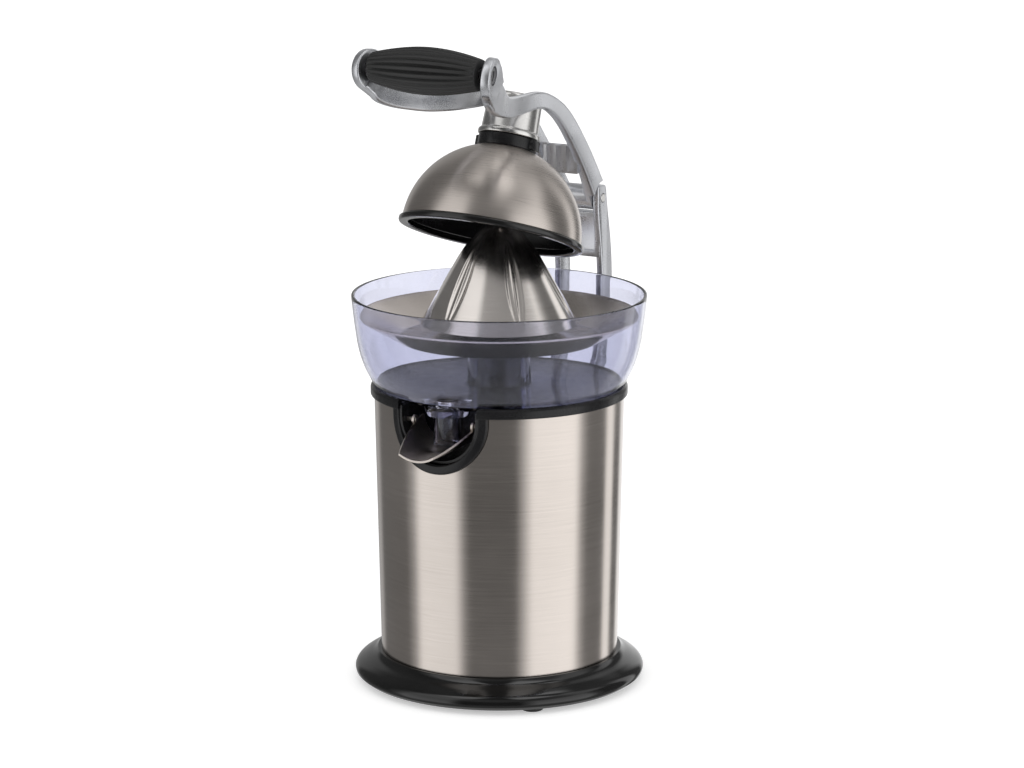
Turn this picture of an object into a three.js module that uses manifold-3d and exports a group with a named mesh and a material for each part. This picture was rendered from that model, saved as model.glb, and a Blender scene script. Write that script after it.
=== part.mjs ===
// Lever citrus press: a motor base in a steel sleeve, a clear juice bowl with strainer and reamer cone,
// and a hinged lever that carries the pressing dome. Millimetres, +Z up.
// The cone's axis is X = 0, Y = 0 before the whole is shifted so that the origin is the bottom centre
// of its box. The spout and the grip face -Y, and the lever's column stands at +Y.
import * as THREE from "three";
import { mergeVertices } from "three/addons/utils/BufferGeometryUtils.js";
import Module from "manifold-3d";

const wasm = await Module();
wasm.setup();

// ---------------------------------------------------------------- driving dimensions

const GAP = 0.3; // clearance between touching pieces
const BOX_CENTRE_Y = 7.5; // the box's middle ahead of the cone's axis

// Base
const FOOT_HEIGHT = 2.2;
const BASE_RADIUS = 90.2;
const BASE_TOP = 19.2;
const FOOT_RING = 78;

// Body sleeve, a slight cone
const SLEEVE_BOTTOM = BASE_TOP + GAP;
const SLEEVE_TOP = 181;
const SLEEVE_LOW_RADIUS = 73.8;
const SLEEVE_TOP_RADIUS = 77.2;
const SLEEVE_WALL = 1;
const GLAND_Z = 34;

// Cut-out for the spout
const CUTOUT_Z = 178;
const CUTOUT_RADIUS = 33.3;
const TRIM_OUTER = 33;
const TRIM_INNER = 27.5;
const TRIM_TOP = 187.5;
const TRIM_RADIUS = 79.5;
const HOUSING_BACK = -44;
const TOWER_BORE = 9.6; // bore of the deck's tower, which holds the upper bush and the seal

// Bowl and strainer
const BOWL_RIM_Z = 243.5;
const BOWL_RIM_RADIUS = 91;
const BOWL_WALL = 2;
const BOWL_UNDERSIDE = 185;
const BOWL_FLOOR = 187.6;
const CHIMNEY_TOP = 221;
const CHIMNEY_RADIUS = 18;
const NOZZLE_Y = -62;
const NOZZLE_RADIUS = 8.5;
const NOZZLE_WALL = 1.8;
const NOZZLE_FLANGE = 10.5;
const NOZZLE_BOTTOM = 161.5;
const STRAINER_RIM_Z = 231;
const STRAINER_RADIUS = 86;
const STRAINER_SLOTS = 24;

// Reamer cone
const CONE_FOOT_Z = 225.5;
const CONE_FOOT_RADIUS = 48.5;
const CONE_TIP_Z = 287;
const CONE_NOSE_Z = 262.6;
const CONE_NOSE_RADIUS = 27.3;
const CONE_RIBS = 6;
const CONE_PHASE = THREE.MathUtils.degToRad(-44);

// Gear train
const OUTPUT_TEETH = 36;
const OUTPUT_MODULE = 1.65;
const IDLER_SMALL_TEETH = 9;
const IDLER_LARGE_TEETH = 30;
const IDLER_MODULE = 1.3;
const PINION_TEETH = 8;
const IDLER_Y = (OUTPUT_MODULE * (OUTPUT_TEETH + IDLER_SMALL_TEETH)) / 2;
const MOTOR_OFFSET = (IDLER_MODULE * (IDLER_LARGE_TEETH + PINION_TEETH)) / 2;
const MOTOR_ANGLE = THREE.MathUtils.degToRad(207);
const MOTOR_X = MOTOR_OFFSET * Math.cos(MOTOR_ANGLE);
const MOTOR_Y = IDLER_Y + MOTOR_OFFSET * Math.sin(MOTOR_ANGLE);
const GEARBOX_FLOOR = 90;
const GEARBOX_TOP = 127;
const GEARBOX_RADIUS = 62;
const SHAFT_RADIUS = 4;
const SHAFT_HEAD_Z = 218.3;
const SPRING_RADIUS = 6.6;
const SPRING_WIRE = 0.7;
const SPRING_TURNS = 3.5;
const SPRING_BOTTOM = 98.2;
const SPRING_TOP = 103.9;
const SWITCH_X = 44;
const FRAME_SCREW_RING = 56; // pitch circle of the legs and of the screws up through the base

// Spout
const SPOUT_PIVOT_Y = -66;
const SPOUT_PIVOT_Z = 174.5;
const SPOUT_HALF = 22;

// Column and lever pivot
const PIVOT_Y = 101;
const PIVOT_Z = 289.5;
const COLUMN_HALF = 17.3;
const COLUMN_CHEEK = 4.2;
const PIN_RADIUS = 2.75;
const COLUMN_SCREW_Z = [134, 164];
const LEVER_REST = THREE.MathUtils.degToRad(20.5); // the lever's lift at rest above fully pressed

// Lever, in its pressed position
const BARREL_RADIUS = 7.8;
const BARREL_HALF = COLUMN_HALF - COLUMN_CHEEK - GAP;
const GRIP_Y = -107.7;
const GRIP_Z = 318.7;
const GRIP_HALF = 37.2;
const GRIP_RADIUS = 14.2;
const GRIP_END_RADIUS = 9.2;
const EAR_X = 45.5; // outer face of the ear at the grip's axis
const EAR_Y = -104;
const EAR_Z = 315.7;
const EAR_SEAT_DEPTH = 3;
const EAR_RADIUS = 14.3;
const EAR_THICKNESS = 5.6;
const EAR_SPLAY = THREE.MathUtils.degToRad(14);
const HUB_RADIUS = 18;
const HUB_BOTTOM = 303.8;
const HUB_TOP = 330;

// Dome, in the lever's pressed position
const DOME_RADIUS = 55.4;
const DOME_RIM_Z = 243.5;
const DOME_WALL = 1.2;
const DOME_TOP_HOLE = 6;
const COLLAR_RADIUS = 18.2;

// ---------------------------------------------------------------- materials

function finish(color, roughness, metalness, opacity = 1) {
  const transparent = opacity < 1;
  return new THREE.MeshStandardMaterial({ color, roughness, metalness, opacity, transparent });
}
const BRUSHED = () => finish(0xbdb7b0, 0.32, 1);
const CAST = () => finish(0xb4b8bd, 0.42, 1);
const STEEL = () => finish(0xb9bcc0, 0.3, 1);
const GLOSS_BLACK = () => finish(0x0c0c0d, 0.12, 0);
const SATIN_BLACK = () => finish(0x1b1c1d, 0.4, 0);
const RUBBER = () => finish(0x222324, 0.7, 0);
const CLEAR = () => finish(0xc8cdf0, 0.08, 0, 0.3);
const NYLON = () => finish(0xe6e3d8, 0.5, 0);
const COPPER = () => finish(0xb06a3a, 0.4, 1);
const GREY = () => finish(0x55585c, 0.5, 0);

// ---------------------------------------------------------------- geometry helpers

const polar = (radius, angle) => [radius * Math.cos(angle), radius * Math.sin(angle)];
const vector = (x, y, z) => new THREE.Vector3(x, y, z);

// A geometry's signed volume; positive when its faces point outwards.
function signedVolume(geometry) {
  const position = geometry.getAttribute("position");
  const index = geometry.index;
  const count = index ? index.count : position.count;
  const corner = [vector(0, 0, 0), vector(0, 0, 0), vector(0, 0, 0)];
  let total = 0;
  for (let i = 0; i < count; i += 3) {
    for (let k = 0; k < 3; k += 1) {
      corner[k].fromBufferAttribute(position, index ? index.getX(i + k) : i + k);
    }
    total += corner[0].dot(corner[1].clone().cross(corner[2]));
  }
  return total / 6;
}

// A solid of revolution about Z from [radius, z] points. The outline is closed if it leaves the axis.
function turned(points, segments = 48) {
  const onAxis = points[0][0] === 0 && points[points.length - 1][0] === 0;
  const outline = onAxis ? points : [...points, points[0]];
  const make = (list) => {
    const profile = list.map(([radius, z]) => new THREE.Vector2(radius, z));
    return new THREE.LatheGeometry(profile, segments).rotateX(Math.PI / 2);
  };
  const first = make(outline);
  return signedVolume(first) > 0 ? first : make([...outline].reverse());
}

// A round bar along Z between two heights.
function bar(radius, low, high, segments = 24) {
  return turned([[0, low], [radius, low], [radius, high], [0, high]], segments);
}

// A ring along Z between two heights.
function ring(inner, outer, low, high, segments = 36) {
  return turned([[inner, low], [outer, low], [outer, high], [inner, high]], segments);
}

// A box between two corners.
function block(low, high) {
  const size = low.map((value, axis) => high[axis] - value);
  const middle = low.map((value, axis) => (high[axis] + value) / 2);
  return new THREE.BoxGeometry(...size).translate(...middle);
}

// Turns a piece made along Z so that it runs along +X or +Y.
const alongX = (geometry) => geometry.rotateY(Math.PI / 2);
const alongY = (geometry) => geometry.rotateX(-Math.PI / 2);

// A solid through closed loops of the same number of points, with flat ends.
// Each end is closed by strips between point i and its partner from the loop's other end.
function loft(loops) {
  const size = loops[0].length;
  const positions = loops.flat().flatMap((p) => [p.x, p.y, p.z]);
  const index = [];
  for (let ringNo = 0; ringNo < loops.length - 1; ringNo += 1) {
    for (let i = 0; i < size; i += 1) {
      const a = ringNo * size + i;
      const b = ringNo * size + ((i + 1) % size);
      index.push(a, b, b + size, a, b + size, a + size);
    }
  }
  const last = (loops.length - 1) * size;
  for (let i = 0; i < size / 2 - 1; i += 1) {
    const far = size - 1 - i;
    index.push(i, far, far - 1, i, far - 1, i + 1);
    index.push(last + i, last + far - 1, last + far, last + i, last + i + 1, last + far - 1);
  }
  const geometry = new THREE.BufferGeometry();
  geometry.setAttribute("position", new THREE.Float32BufferAttribute(positions, 3));
  geometry.setIndex(index);
  if (signedVolume(geometry) < 0) {
    for (let i = 0; i < index.length; i += 3) {
      [index[i + 1], index[i + 2]] = [index[i + 2], index[i + 1]];
    }
    geometry.setIndex(index);
  }
  return geometry;
}

// A geometry as a manifold-3d solid.
function toSolid(geometry) {
  const loose = geometry.index ? geometry.toNonIndexed() : geometry.clone();
  loose.deleteAttribute("normal");
  loose.deleteAttribute("uv");
  const merged = mergeVertices(loose, 1e-4);
  const corners = merged.index.array;
  const kept = [];
  for (let i = 0; i < corners.length; i += 3) {
    const [a, b, c] = [corners[i], corners[i + 1], corners[i + 2]];
    if (a !== b && b !== c && c !== a) kept.push(a, b, c);
  }
  const vertProperties = merged.getAttribute("position").array;
  const mesh = new wasm.Mesh({ numProp: 3, vertProperties, triVerts: new Uint32Array(kept) });
  return new wasm.Manifold(mesh);
}

function fromSolid(solid) {
  const mesh = solid.getMesh();
  const geometry = new THREE.BufferGeometry();
  geometry.setAttribute("position", new THREE.BufferAttribute(mesh.vertProperties, 3));
  geometry.setIndex(new THREE.BufferAttribute(mesh.triVerts, 1));
  return geometry;
}

// Joins the first list of geometries, cuts the second list away, and keeps what lies in the third.
function shaped(joined, removed = [], within = []) {
  let solid = joined.map(toSolid).reduce((sum, next) => sum.add(next));
  for (const tool of removed) {
    solid = solid.subtract(toSolid(tool));
  }
  for (const tool of within) {
    solid = solid.intersect(toSolid(tool));
  }
  return fromSolid(solid);
}

function extruded(shape, depth, steps = 12) {
  return new THREE.ExtrudeGeometry(shape, { depth, bevelEnabled: false, curveSegments: steps });
}

// Extrudes an outline drawn in (Y, Z) along X between two values.
function alongXFrom(shape, low, high, steps = 12) {
  const turn = new THREE.Matrix4().makeBasis(vector(0, 1, 0), vector(0, 0, 1), vector(1, 0, 0));
  return extruded(shape, high - low, steps).applyMatrix4(turn).translate(low, 0, 0);
}

// Extrudes an outline drawn in (X, Z) along Y between two values.
function alongYFrom(shape, low, high, steps = 12) {
  return extruded(shape, high - low, steps).rotateX(Math.PI / 2).translate(0, high, 0);
}

// A machine screw with its head towards +Z and the head's underside at z = 0.
function screw(shankRadius, length, headRadius, headHeight, segments = 16) {
  const socketRadius = headRadius * 0.45;
  const socketFloor = headHeight * 0.4;
  return turned(
    [
      [0, -length],
      [shankRadius * 0.7, -length],
      [shankRadius, -length + shankRadius * 0.4],
      [shankRadius, 0],
      [headRadius, 0],
      [headRadius, headHeight * 0.8],
      [headRadius * 0.88, headHeight],
      [socketRadius, headHeight],
      [socketRadius, socketFloor],
      [0, socketFloor],
    ],
    segments,
  );
}

// A spur gear between two heights; toothAt is the angle of one tooth's middle.
function spurGear(teeth, module, boreRadius, low, high, toothAt) {
  const pitchRadius = (module * teeth) / 2;
  const backlash = 0.3 * module;
  const half = Math.PI / (2 * teeth) - backlash / (2 * pitchRadius);
  const tipHalf = half - (Math.tan(THREE.MathUtils.degToRad(20)) * 0.9 * module) / pitchRadius;
  const shape = new THREE.Shape();
  const outline = [];
  for (let tooth = 0; tooth < teeth; tooth += 1) {
    const middle = toothAt + (tooth * 2 * Math.PI) / teeth;
    outline.push(polar(pitchRadius - 1.2 * module, middle - half));
    outline.push(polar(pitchRadius + 0.9 * module, middle - tipHalf));
    outline.push(polar(pitchRadius + 0.9 * module, middle + tipHalf));
    outline.push(polar(pitchRadius - 1.2 * module, middle + half));
  }
  shape.setFromPoints(outline.map(([x, y]) => new THREE.Vector2(x, y)));
  const bore = new THREE.Path();
  bore.absarc(0, 0, boreRadius, 0, 2 * Math.PI, true);
  shape.holes.push(bore);
  return extruded(shape, high - low, 8).translate(0, 0, low);
}

// ---------------------------------------------------------------- the tree of pieces

const juicer = new THREE.Group();
juicer.position.y = -BOX_CENTRE_Y;
const body = new THREE.Group();
const lever = new THREE.Group();
lever.position.set(0, PIVOT_Y, PIVOT_Z);
lever.rotation.x = -LEVER_REST;
juicer.add(body, lever);

function place(parent, name, geometry, material) {
  const mesh = new THREE.Mesh(geometry, material);
  mesh.name = name;
  parent.add(mesh);
  return mesh;
}

// A lever piece is drawn in the pressed position and hung in the turned lever group.
function placeOnLever(name, geometry, material) {
  return place(lever, name, geometry.translate(0, -PIVOT_Y, -PIVOT_Z), material);
}

const sleeveRadius = (z) => {
  const rise = (z - SLEEVE_BOTTOM) / (SLEEVE_TOP - SLEEVE_BOTTOM);
  return THREE.MathUtils.lerp(SLEEVE_LOW_RADIUS, SLEEVE_TOP_RADIUS, rise);
};

// ---------------------------------------------------------------- base

function makeBase() {
  const low = FOOT_HEIGHT + GAP;
  const shoulder = new THREE.SplineCurve([
    new THREE.Vector2(BASE_RADIUS - 0.3, 5),
    new THREE.Vector2(BASE_RADIUS, 7.5),
    new THREE.Vector2(BASE_RADIUS - 1.8, 10.5),
    new THREE.Vector2(BASE_RADIUS - 6.5, 13.6),
    new THREE.Vector2(BASE_RADIUS - 11.5, 16.4),
    new THREE.Vector2(76, BASE_TOP),
  ]);
  const outside = shoulder.getPoints(5).map((point) => [point.x, point.y]);
  const ringProfile = [[66, low], [87, low], ...outside, [64, BASE_TOP], [64, 9], [66, 9]];
  place(body, "base_ring", turned(ringProfile, 36), GLOSS_BLACK());

  const plateLow = low + 1.2;
  const plateTop = plateLow + 2.5;
  const vents = [0, 1, 2, 3, 4, 5].map((i) => {
    const [x, y] = polar(36, ((i + 0.5) * Math.PI) / 3);
    return bar(4, 0, 20, 8).translate(x, y, 0);
  });
  const boltHoles = [0, 1, 2, 3].map((i) => {
    const [x, y] = polar(FRAME_SCREW_RING, (i * Math.PI) / 2);
    return bar(2.3, 0, 20, 10).translate(x, y, 0);
  });
  const disc = bar(65.4, plateLow, plateTop, 40);
  place(body, "base_plate", shaped([disc], [...vents, ...boltHoles]), SATIN_BLACK());

  const footProfile = [
    [0, 0],
    [6, 0],
    [7, 0.8],
    [7, FOOT_HEIGHT],
    [0, FOOT_HEIGHT],
  ];
  ["front_right", "rear_right", "rear_left", "front_left"].forEach((side, i) => {
    const [x, y] = polar(FOOT_RING, -Math.PI / 4 + (i * Math.PI) / 2);
    const foot = place(body, `foot_${side}`, turned(footProfile, 14), RUBBER());
    foot.position.set(x, y, 0);
  });
  ["right", "rear", "left", "front"].forEach((side, i) => {
    const [x, y] = polar(FRAME_SCREW_RING, (i * Math.PI) / 2);
    const bolt = place(body, `base_screw_${side}`, screw(1.9, 11, 3.6, 1.1, 8), STEEL());
    bolt.rotation.x = Math.PI;
    bolt.position.set(x, y, plateLow - GAP);
  });
}

// ---------------------------------------------------------------- body shell

function makeShell() {
  const cutout = new THREE.Shape();
  cutout.absarc(0, CUTOUT_Z, CUTOUT_RADIUS, Math.PI, 2 * Math.PI);
  cutout.lineTo(CUTOUT_RADIUS, SLEEVE_TOP + 10);
  cutout.lineTo(-CUTOUT_RADIUS, SLEEVE_TOP + 10);
  const sleeve = turned(
    [
      [SLEEVE_LOW_RADIUS - SLEEVE_WALL, SLEEVE_BOTTOM],
      [SLEEVE_LOW_RADIUS, SLEEVE_BOTTOM],
      [SLEEVE_TOP_RADIUS, SLEEVE_TOP],
      [SLEEVE_TOP_RADIUS - SLEEVE_WALL, SLEEVE_TOP],
    ],
    60,
  );
  const holes = COLUMN_SCREW_Z.map((z) => alongY(bar(2.6, 60, 90, 12)).translate(0, 0, z));
  const inlet = alongY(bar(5.2, 60, 90, 20)).translate(0, 0, GLAND_Z);
  const tools = [alongYFrom(cutout, -100, -40, 12), ...holes, inlet];
  place(body, "body_sleeve", shaped([sleeve], tools), BRUSHED());

  // Trim: a ring on the sleeve's top edge and a lip round the cut-out, as one moulding.
  const topRing = turned(
    [
      [75, SLEEVE_TOP + GAP],
      [TRIM_RADIUS, SLEEVE_TOP + GAP],
      [TRIM_RADIUS, TRIM_TOP - 1.5],
      [TRIM_RADIUS - 1.2, TRIM_TOP],
      [77.4, TRIM_TOP],
      [75, TRIM_TOP - 1.6],
    ],
    48,
  );
  const opening = new THREE.Shape();
  opening.absarc(0, CUTOUT_Z, TRIM_INNER, Math.PI, 2 * Math.PI);
  opening.lineTo(TRIM_INNER, TRIM_TOP + 5);
  opening.lineTo(-TRIM_INNER, TRIM_TOP + 5);
  const lip = new THREE.Shape();
  lip.absarc(0, CUTOUT_Z, TRIM_OUTER, Math.PI, 2 * Math.PI);
  lip.lineTo(TRIM_OUTER, SLEEVE_TOP + 2);
  lip.lineTo(-TRIM_OUTER, SLEEVE_TOP + 2);
  const band = turned(
    [
      [sleeveRadius(140) - 1.8, 140],
      [sleeveRadius(140) + 1.9, 140],
      [TRIM_RADIUS, SLEEVE_TOP + 3],
      [SLEEVE_TOP_RADIUS - 1.8, SLEEVE_TOP + 3],
    ],
    48,
  );
  const lipBand = fromSolid(toSolid(alongYFrom(lip, -100, -40, 12)).intersect(toSolid(band)));
  const trim = shaped([topRing, lipBand], [alongYFrom(opening, -100, -40, 12)]);
  place(body, "top_trim", trim, SATIN_BLACK());

  // Deck: the top plate with the tower that carries the shaft's upper bush, open over the spout.
  const deck = turned(
    [
      [TOWER_BORE, GEARBOX_TOP + 4],
      [14.5, GEARBOX_TOP + 4],
      [14.5, 180],
      [74.6, 180],
      [74.6, 184.5],
      [14, 184.5],
      [13.4, 216],
      [TOWER_BORE, 216],
    ],
    32,
  );
  const mouth = alongYFrom(opening, -100, HOUSING_BACK + GAP, 12);
  place(body, "deck", shaped([deck], [mouth]), SATIN_BLACK());

  // Housing: the dark pocket behind the cut-out, with bearing holes for the spout's pins.
  const pocketOuter = new THREE.Shape();
  pocketOuter.absarc(0, CUTOUT_Z, TRIM_INNER - GAP, Math.PI, 2 * Math.PI);
  pocketOuter.lineTo(TRIM_INNER - GAP, 184);
  pocketOuter.lineTo(-TRIM_INNER + GAP, 184);
  const pocketInner = new THREE.Shape();
  const pocketRadius = TRIM_INNER - GAP - 1.5;
  pocketInner.absarc(0, CUTOUT_Z, pocketRadius, Math.PI, 2 * Math.PI);
  pocketInner.lineTo(pocketRadius, 190);
  pocketInner.lineTo(-pocketRadius, 190);
  const pocket = shaped(
    [alongYFrom(pocketOuter, -73, HOUSING_BACK, 10)],
    [
      alongYFrom(pocketInner, -90, HOUSING_BACK - 1.8, 10),
      alongX(bar(1.9, -40, 40, 12)).translate(0, SPOUT_PIVOT_Y, SPOUT_PIVOT_Z),
    ],
  );
  place(body, "spout_housing", pocket, SATIN_BLACK());

  const glandProfile = [
    [2.6, -6],
    [4.9, -6],
    [4.9, 1.2],
    [7.5, 1.2],
    [7.5, 3.4],
    [5.6, 7],
    [3.6, 7],
    [2.6, 7],
  ];
  const gland = place(body, "cord_gland", turned(glandProfile, 16), SATIN_BLACK());
  gland.rotation.x = -Math.PI / 2;
  gland.position.set(0, sleeveRadius(GLAND_Z), GLAND_Z);
}

// ---------------------------------------------------------------- spout

// The scoop is a half-round trough whose sides fall towards its rolled lip.
function makeSpout() {
  const backY = -55;
  const lipY = -99;
  const steps = 7;
  const arcSteps = 7;
  const loops = [];
  for (let i = 0; i <= steps; i += 1) {
    const along = i / steps;
    const y = THREE.MathUtils.lerp(backY, lipY, along);
    const floor = 158.6 - 2.2 * along + 1.4 * Math.max(0, along - 0.85);
    const centreZ = 178 - 1.2 * along;
    const radius = centreZ - floor;
    const side = THREE.MathUtils.lerp(84, 34, Math.pow(along, 1.25));
    const spread = SPOUT_HALF / radius;
    const outer = [];
    const inner = [];
    for (let k = 0; k <= arcSteps; k += 1) {
      const angle = THREE.MathUtils.degToRad(THREE.MathUtils.lerp(-side, side, k / arcSteps));
      const x = Math.sin(angle);
      const z = Math.cos(angle);
      outer.push(vector(radius * spread * x, y, centreZ - radius * z));
      inner.unshift(vector((radius * spread - 1.2) * x, y, centreZ - (radius - 1.2) * z));
    }
    loops.push([...outer, ...inner]);
  }
  const pins = [-1, 1].map((side) => {
    const pin = alongX(bar(1.5, SPOUT_HALF - 2.6, SPOUT_HALF + 4.2, 10));
    return pin.rotateZ(side < 0 ? Math.PI : 0).translate(0, SPOUT_PIVOT_Y, SPOUT_PIVOT_Z);
  });
  const ears = [-1, 1].map((side) => {
    const ear = alongX(bar(4, SPOUT_HALF - 2.2, SPOUT_HALF - 0.4, 12));
    return ear.rotateZ(side < 0 ? Math.PI : 0).translate(0, SPOUT_PIVOT_Y, SPOUT_PIVOT_Z);
  });
  place(body, "spout_scoop", shaped([loft(loops), ...pins, ...ears]), STEEL());
}

// ---------------------------------------------------------------- drive

function makeDrive() {
  // Gearbox tray on four legs.
  const bushHole = bar(6.3, 80, 100, 16);
  const pinionHole = bar(7, 80, 100, 16).translate(MOTOR_X, MOTOR_Y, 0);
  const idlerHole = bar(2.3, 80, 100, 16).translate(0, IDLER_Y, 0);
  const tray = turned(
    [
      [0, GEARBOX_FLOOR],
      [GEARBOX_RADIUS, GEARBOX_FLOOR],
      [GEARBOX_RADIUS, GEARBOX_TOP],
      [GEARBOX_RADIUS - 2.5, GEARBOX_TOP],
      [GEARBOX_RADIUS - 2.5, GEARBOX_FLOOR + 3],
      [0, GEARBOX_FLOOR + 3],
    ],
    32,
  );
  const legs = [0, 1, 2, 3].map((i) => {
    const [x, y] = polar(FRAME_SCREW_RING, (i * Math.PI) / 2);
    return bar(5, 6.5, 91, 10).translate(x, y, 0);
  });
  const pilots = [0, 1, 2, 3].map((i) => {
    const [x, y] = polar(FRAME_SCREW_RING, (i * Math.PI) / 2);
    return bar(2.3, 0, 20, 10).translate(x, y, 0);
  });
  const trayTools = [bushHole, pinionHole, idlerHole, ...pilots];
  place(body, "gearbox_case", shaped([tray, ...legs], trayTools), GREY());

  const coverHole = bar(7, GEARBOX_TOP - 5, GEARBOX_TOP + 10, 16);
  const cover = bar(GEARBOX_RADIUS, GEARBOX_TOP + GAP, GEARBOX_TOP + 3, 32);
  const plungerHole = bar(2, GEARBOX_TOP - 5, GEARBOX_TOP + 10, 14).translate(SWITCH_X, 0, 0);
  const axleHole = bar(2.3, GEARBOX_TOP - 5, GEARBOX_TOP + 10, 16).translate(0, IDLER_Y, 0);
  place(body, "gearbox_cover", shaped([cover], [coverHole, plungerHole, axleHole]), GREY());

  const lowerBush = turned(
    [[4.25, 88], [5.9, 88], [5.9, 93.3], [8.6, 93.3], [8.6, 94.6], [4.25, 94.6]],
    16,
  );
  place(body, "lower_bush", lowerBush, COPPER());
  place(body, "upper_bush", ring(4.25, TOWER_BORE - GAP, 202, 212, 16), COPPER());
  place(body, "shaft_seal", ring(4.3, TOWER_BORE - GAP, 212.3, 215, 16), RUBBER());
  const axle = bar(2, 88, GEARBOX_TOP + 4.5, 16);
  place(body, "idler_axle", axle, STEEL()).position.y = IDLER_Y;

  // Output gear and idler pinion mesh on the line between their axes.
  const outputGear = spurGear(OUTPUT_TEETH, OUTPUT_MODULE, 5.3, 107, 114, Math.PI / 2);
  const gearHub = ring(4.3, 9, 105, 117, 16);
  place(body, "output_gear", shaped([outputGear, gearHub]), NYLON());
  const gapTowardsAxis = -Math.PI / 2 + Math.PI / IDLER_SMALL_TEETH;
  const small = spurGear(IDLER_SMALL_TEETH, OUTPUT_MODULE, 2.3, 100, 122, gapTowardsAxis);
  const large = spurGear(IDLER_LARGE_TEETH, IDLER_MODULE, 2.3, 95.5, 100.4, MOTOR_ANGLE);
  place(body, "idler_gear", shaped([small, large]), NYLON()).position.y = IDLER_Y;
  const pinionAt = MOTOR_ANGLE + Math.PI + Math.PI / PINION_TEETH;
  const pinion = spurGear(PINION_TEETH, IDLER_MODULE, 2.8, 94.5, 102, pinionAt);
  place(body, "motor_pinion", pinion, STEEL()).position.set(MOTOR_X, MOTOR_Y, 0);

  // Output shaft with a shoulder under the upper bush and a flat-sided head for the cone.
  const shaft = turned(
    [
      [0, 90],
      [SHAFT_RADIUS, 90],
      [SHAFT_RADIUS, 117.3],
      [6.5, 117.3],
      [6.5, 119.5],
      [SHAFT_RADIUS, 119.5],
      [SHAFT_RADIUS, SHAFT_HEAD_Z + 0.5],
      [0, SHAFT_HEAD_Z + 0.5],
    ],
    16,
  );
  const head = bar(5.2, SHAFT_HEAD_Z, 238, 6);
  place(body, "output_shaft", shaped([shaft, head]), STEEL());

  // Thrust collar: a plain ring that does not turn, with an arm over the switch's plunger.
  const collarRing = ring(4.4, 9, 119.8, 122.8, 16);
  const arm = block([7, -3, 119.8], [SWITCH_X + 3, 3, 122.8]);
  place(body, "thrust_collar", shaped([collarRing, arm]), NYLON());

  // The spring is drawn at its pressed length, so that its foot stays clear of the bush all the way down.
  const wind = new (class extends THREE.Curve {
    getPoint(t, target = new THREE.Vector3()) {
      const turn = t * 2 * Math.PI * SPRING_TURNS;
      const z = THREE.MathUtils.lerp(SPRING_BOTTOM, SPRING_TOP, t);
      return target.set(SPRING_RADIUS * Math.cos(turn), SPRING_RADIUS * Math.sin(turn), z);
    }
  })();
  const wire = new THREE.Shape();
  wire.absarc(0, 0, SPRING_WIRE, 0, 2 * Math.PI);
  const coil = new THREE.ExtrudeGeometry(wire, { extrudePath: wind, steps: 42, curveSegments: 2 });
  place(body, "return_spring", coil, STEEL());

  const switchBody = block([SWITCH_X - 5, -9, 96], [SWITCH_X + 5, 9, 112]);
  const plungerWell = bar(1.9, 104, 120, 12).translate(SWITCH_X, 0, 0);
  place(body, "micro_switch", shaped([switchBody], [plungerWell]), SATIN_BLACK());
  place(body, "switch_plunger", bar(1.5, 108, 119.5, 12), NYLON()).position.x = SWITCH_X;

  // Motor
  const motor = new THREE.Group();
  motor.position.set(MOTOR_X, MOTOR_Y, 0);
  body.add(motor);
  place(motor, "motor_stator", ring(14, 23, 34, 78, 24), GREY());
  const lowerBearing = ring(3.5, 23, 30, 33.7, 24);
  place(motor, "motor_lower_bracket", lowerBearing, STEEL());
  place(motor, "motor_upper_bracket", ring(3.5, 23, 78.3, 82, 24), STEEL());
  place(motor, "motor_armature", ring(3.3, 13.4, 37, 75, 18), COPPER());
  const motorShaft = turned([[0, 12], [3, 12], [3, 92], [2.5, 92], [2.5, 104], [0, 104]], 12);
  place(motor, "motor_shaft", motorShaft, STEEL());
  const blades = [ring(3.3, 6, 18, 27, 14)];
  for (let i = 0; i < 7; i += 1) {
    const blade = block([4.5, -0.7, 19], [19, 0.7, 26.5]);
    blades.push(blade.rotateZ((i * 2 * Math.PI) / 7));
  }
  blades.push(ring(4.5, 20, 26, 27.2, 20));
  place(motor, "cooling_fan", shaped(blades), GREY());
}

// ---------------------------------------------------------------- bowl, strainer and cone

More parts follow.
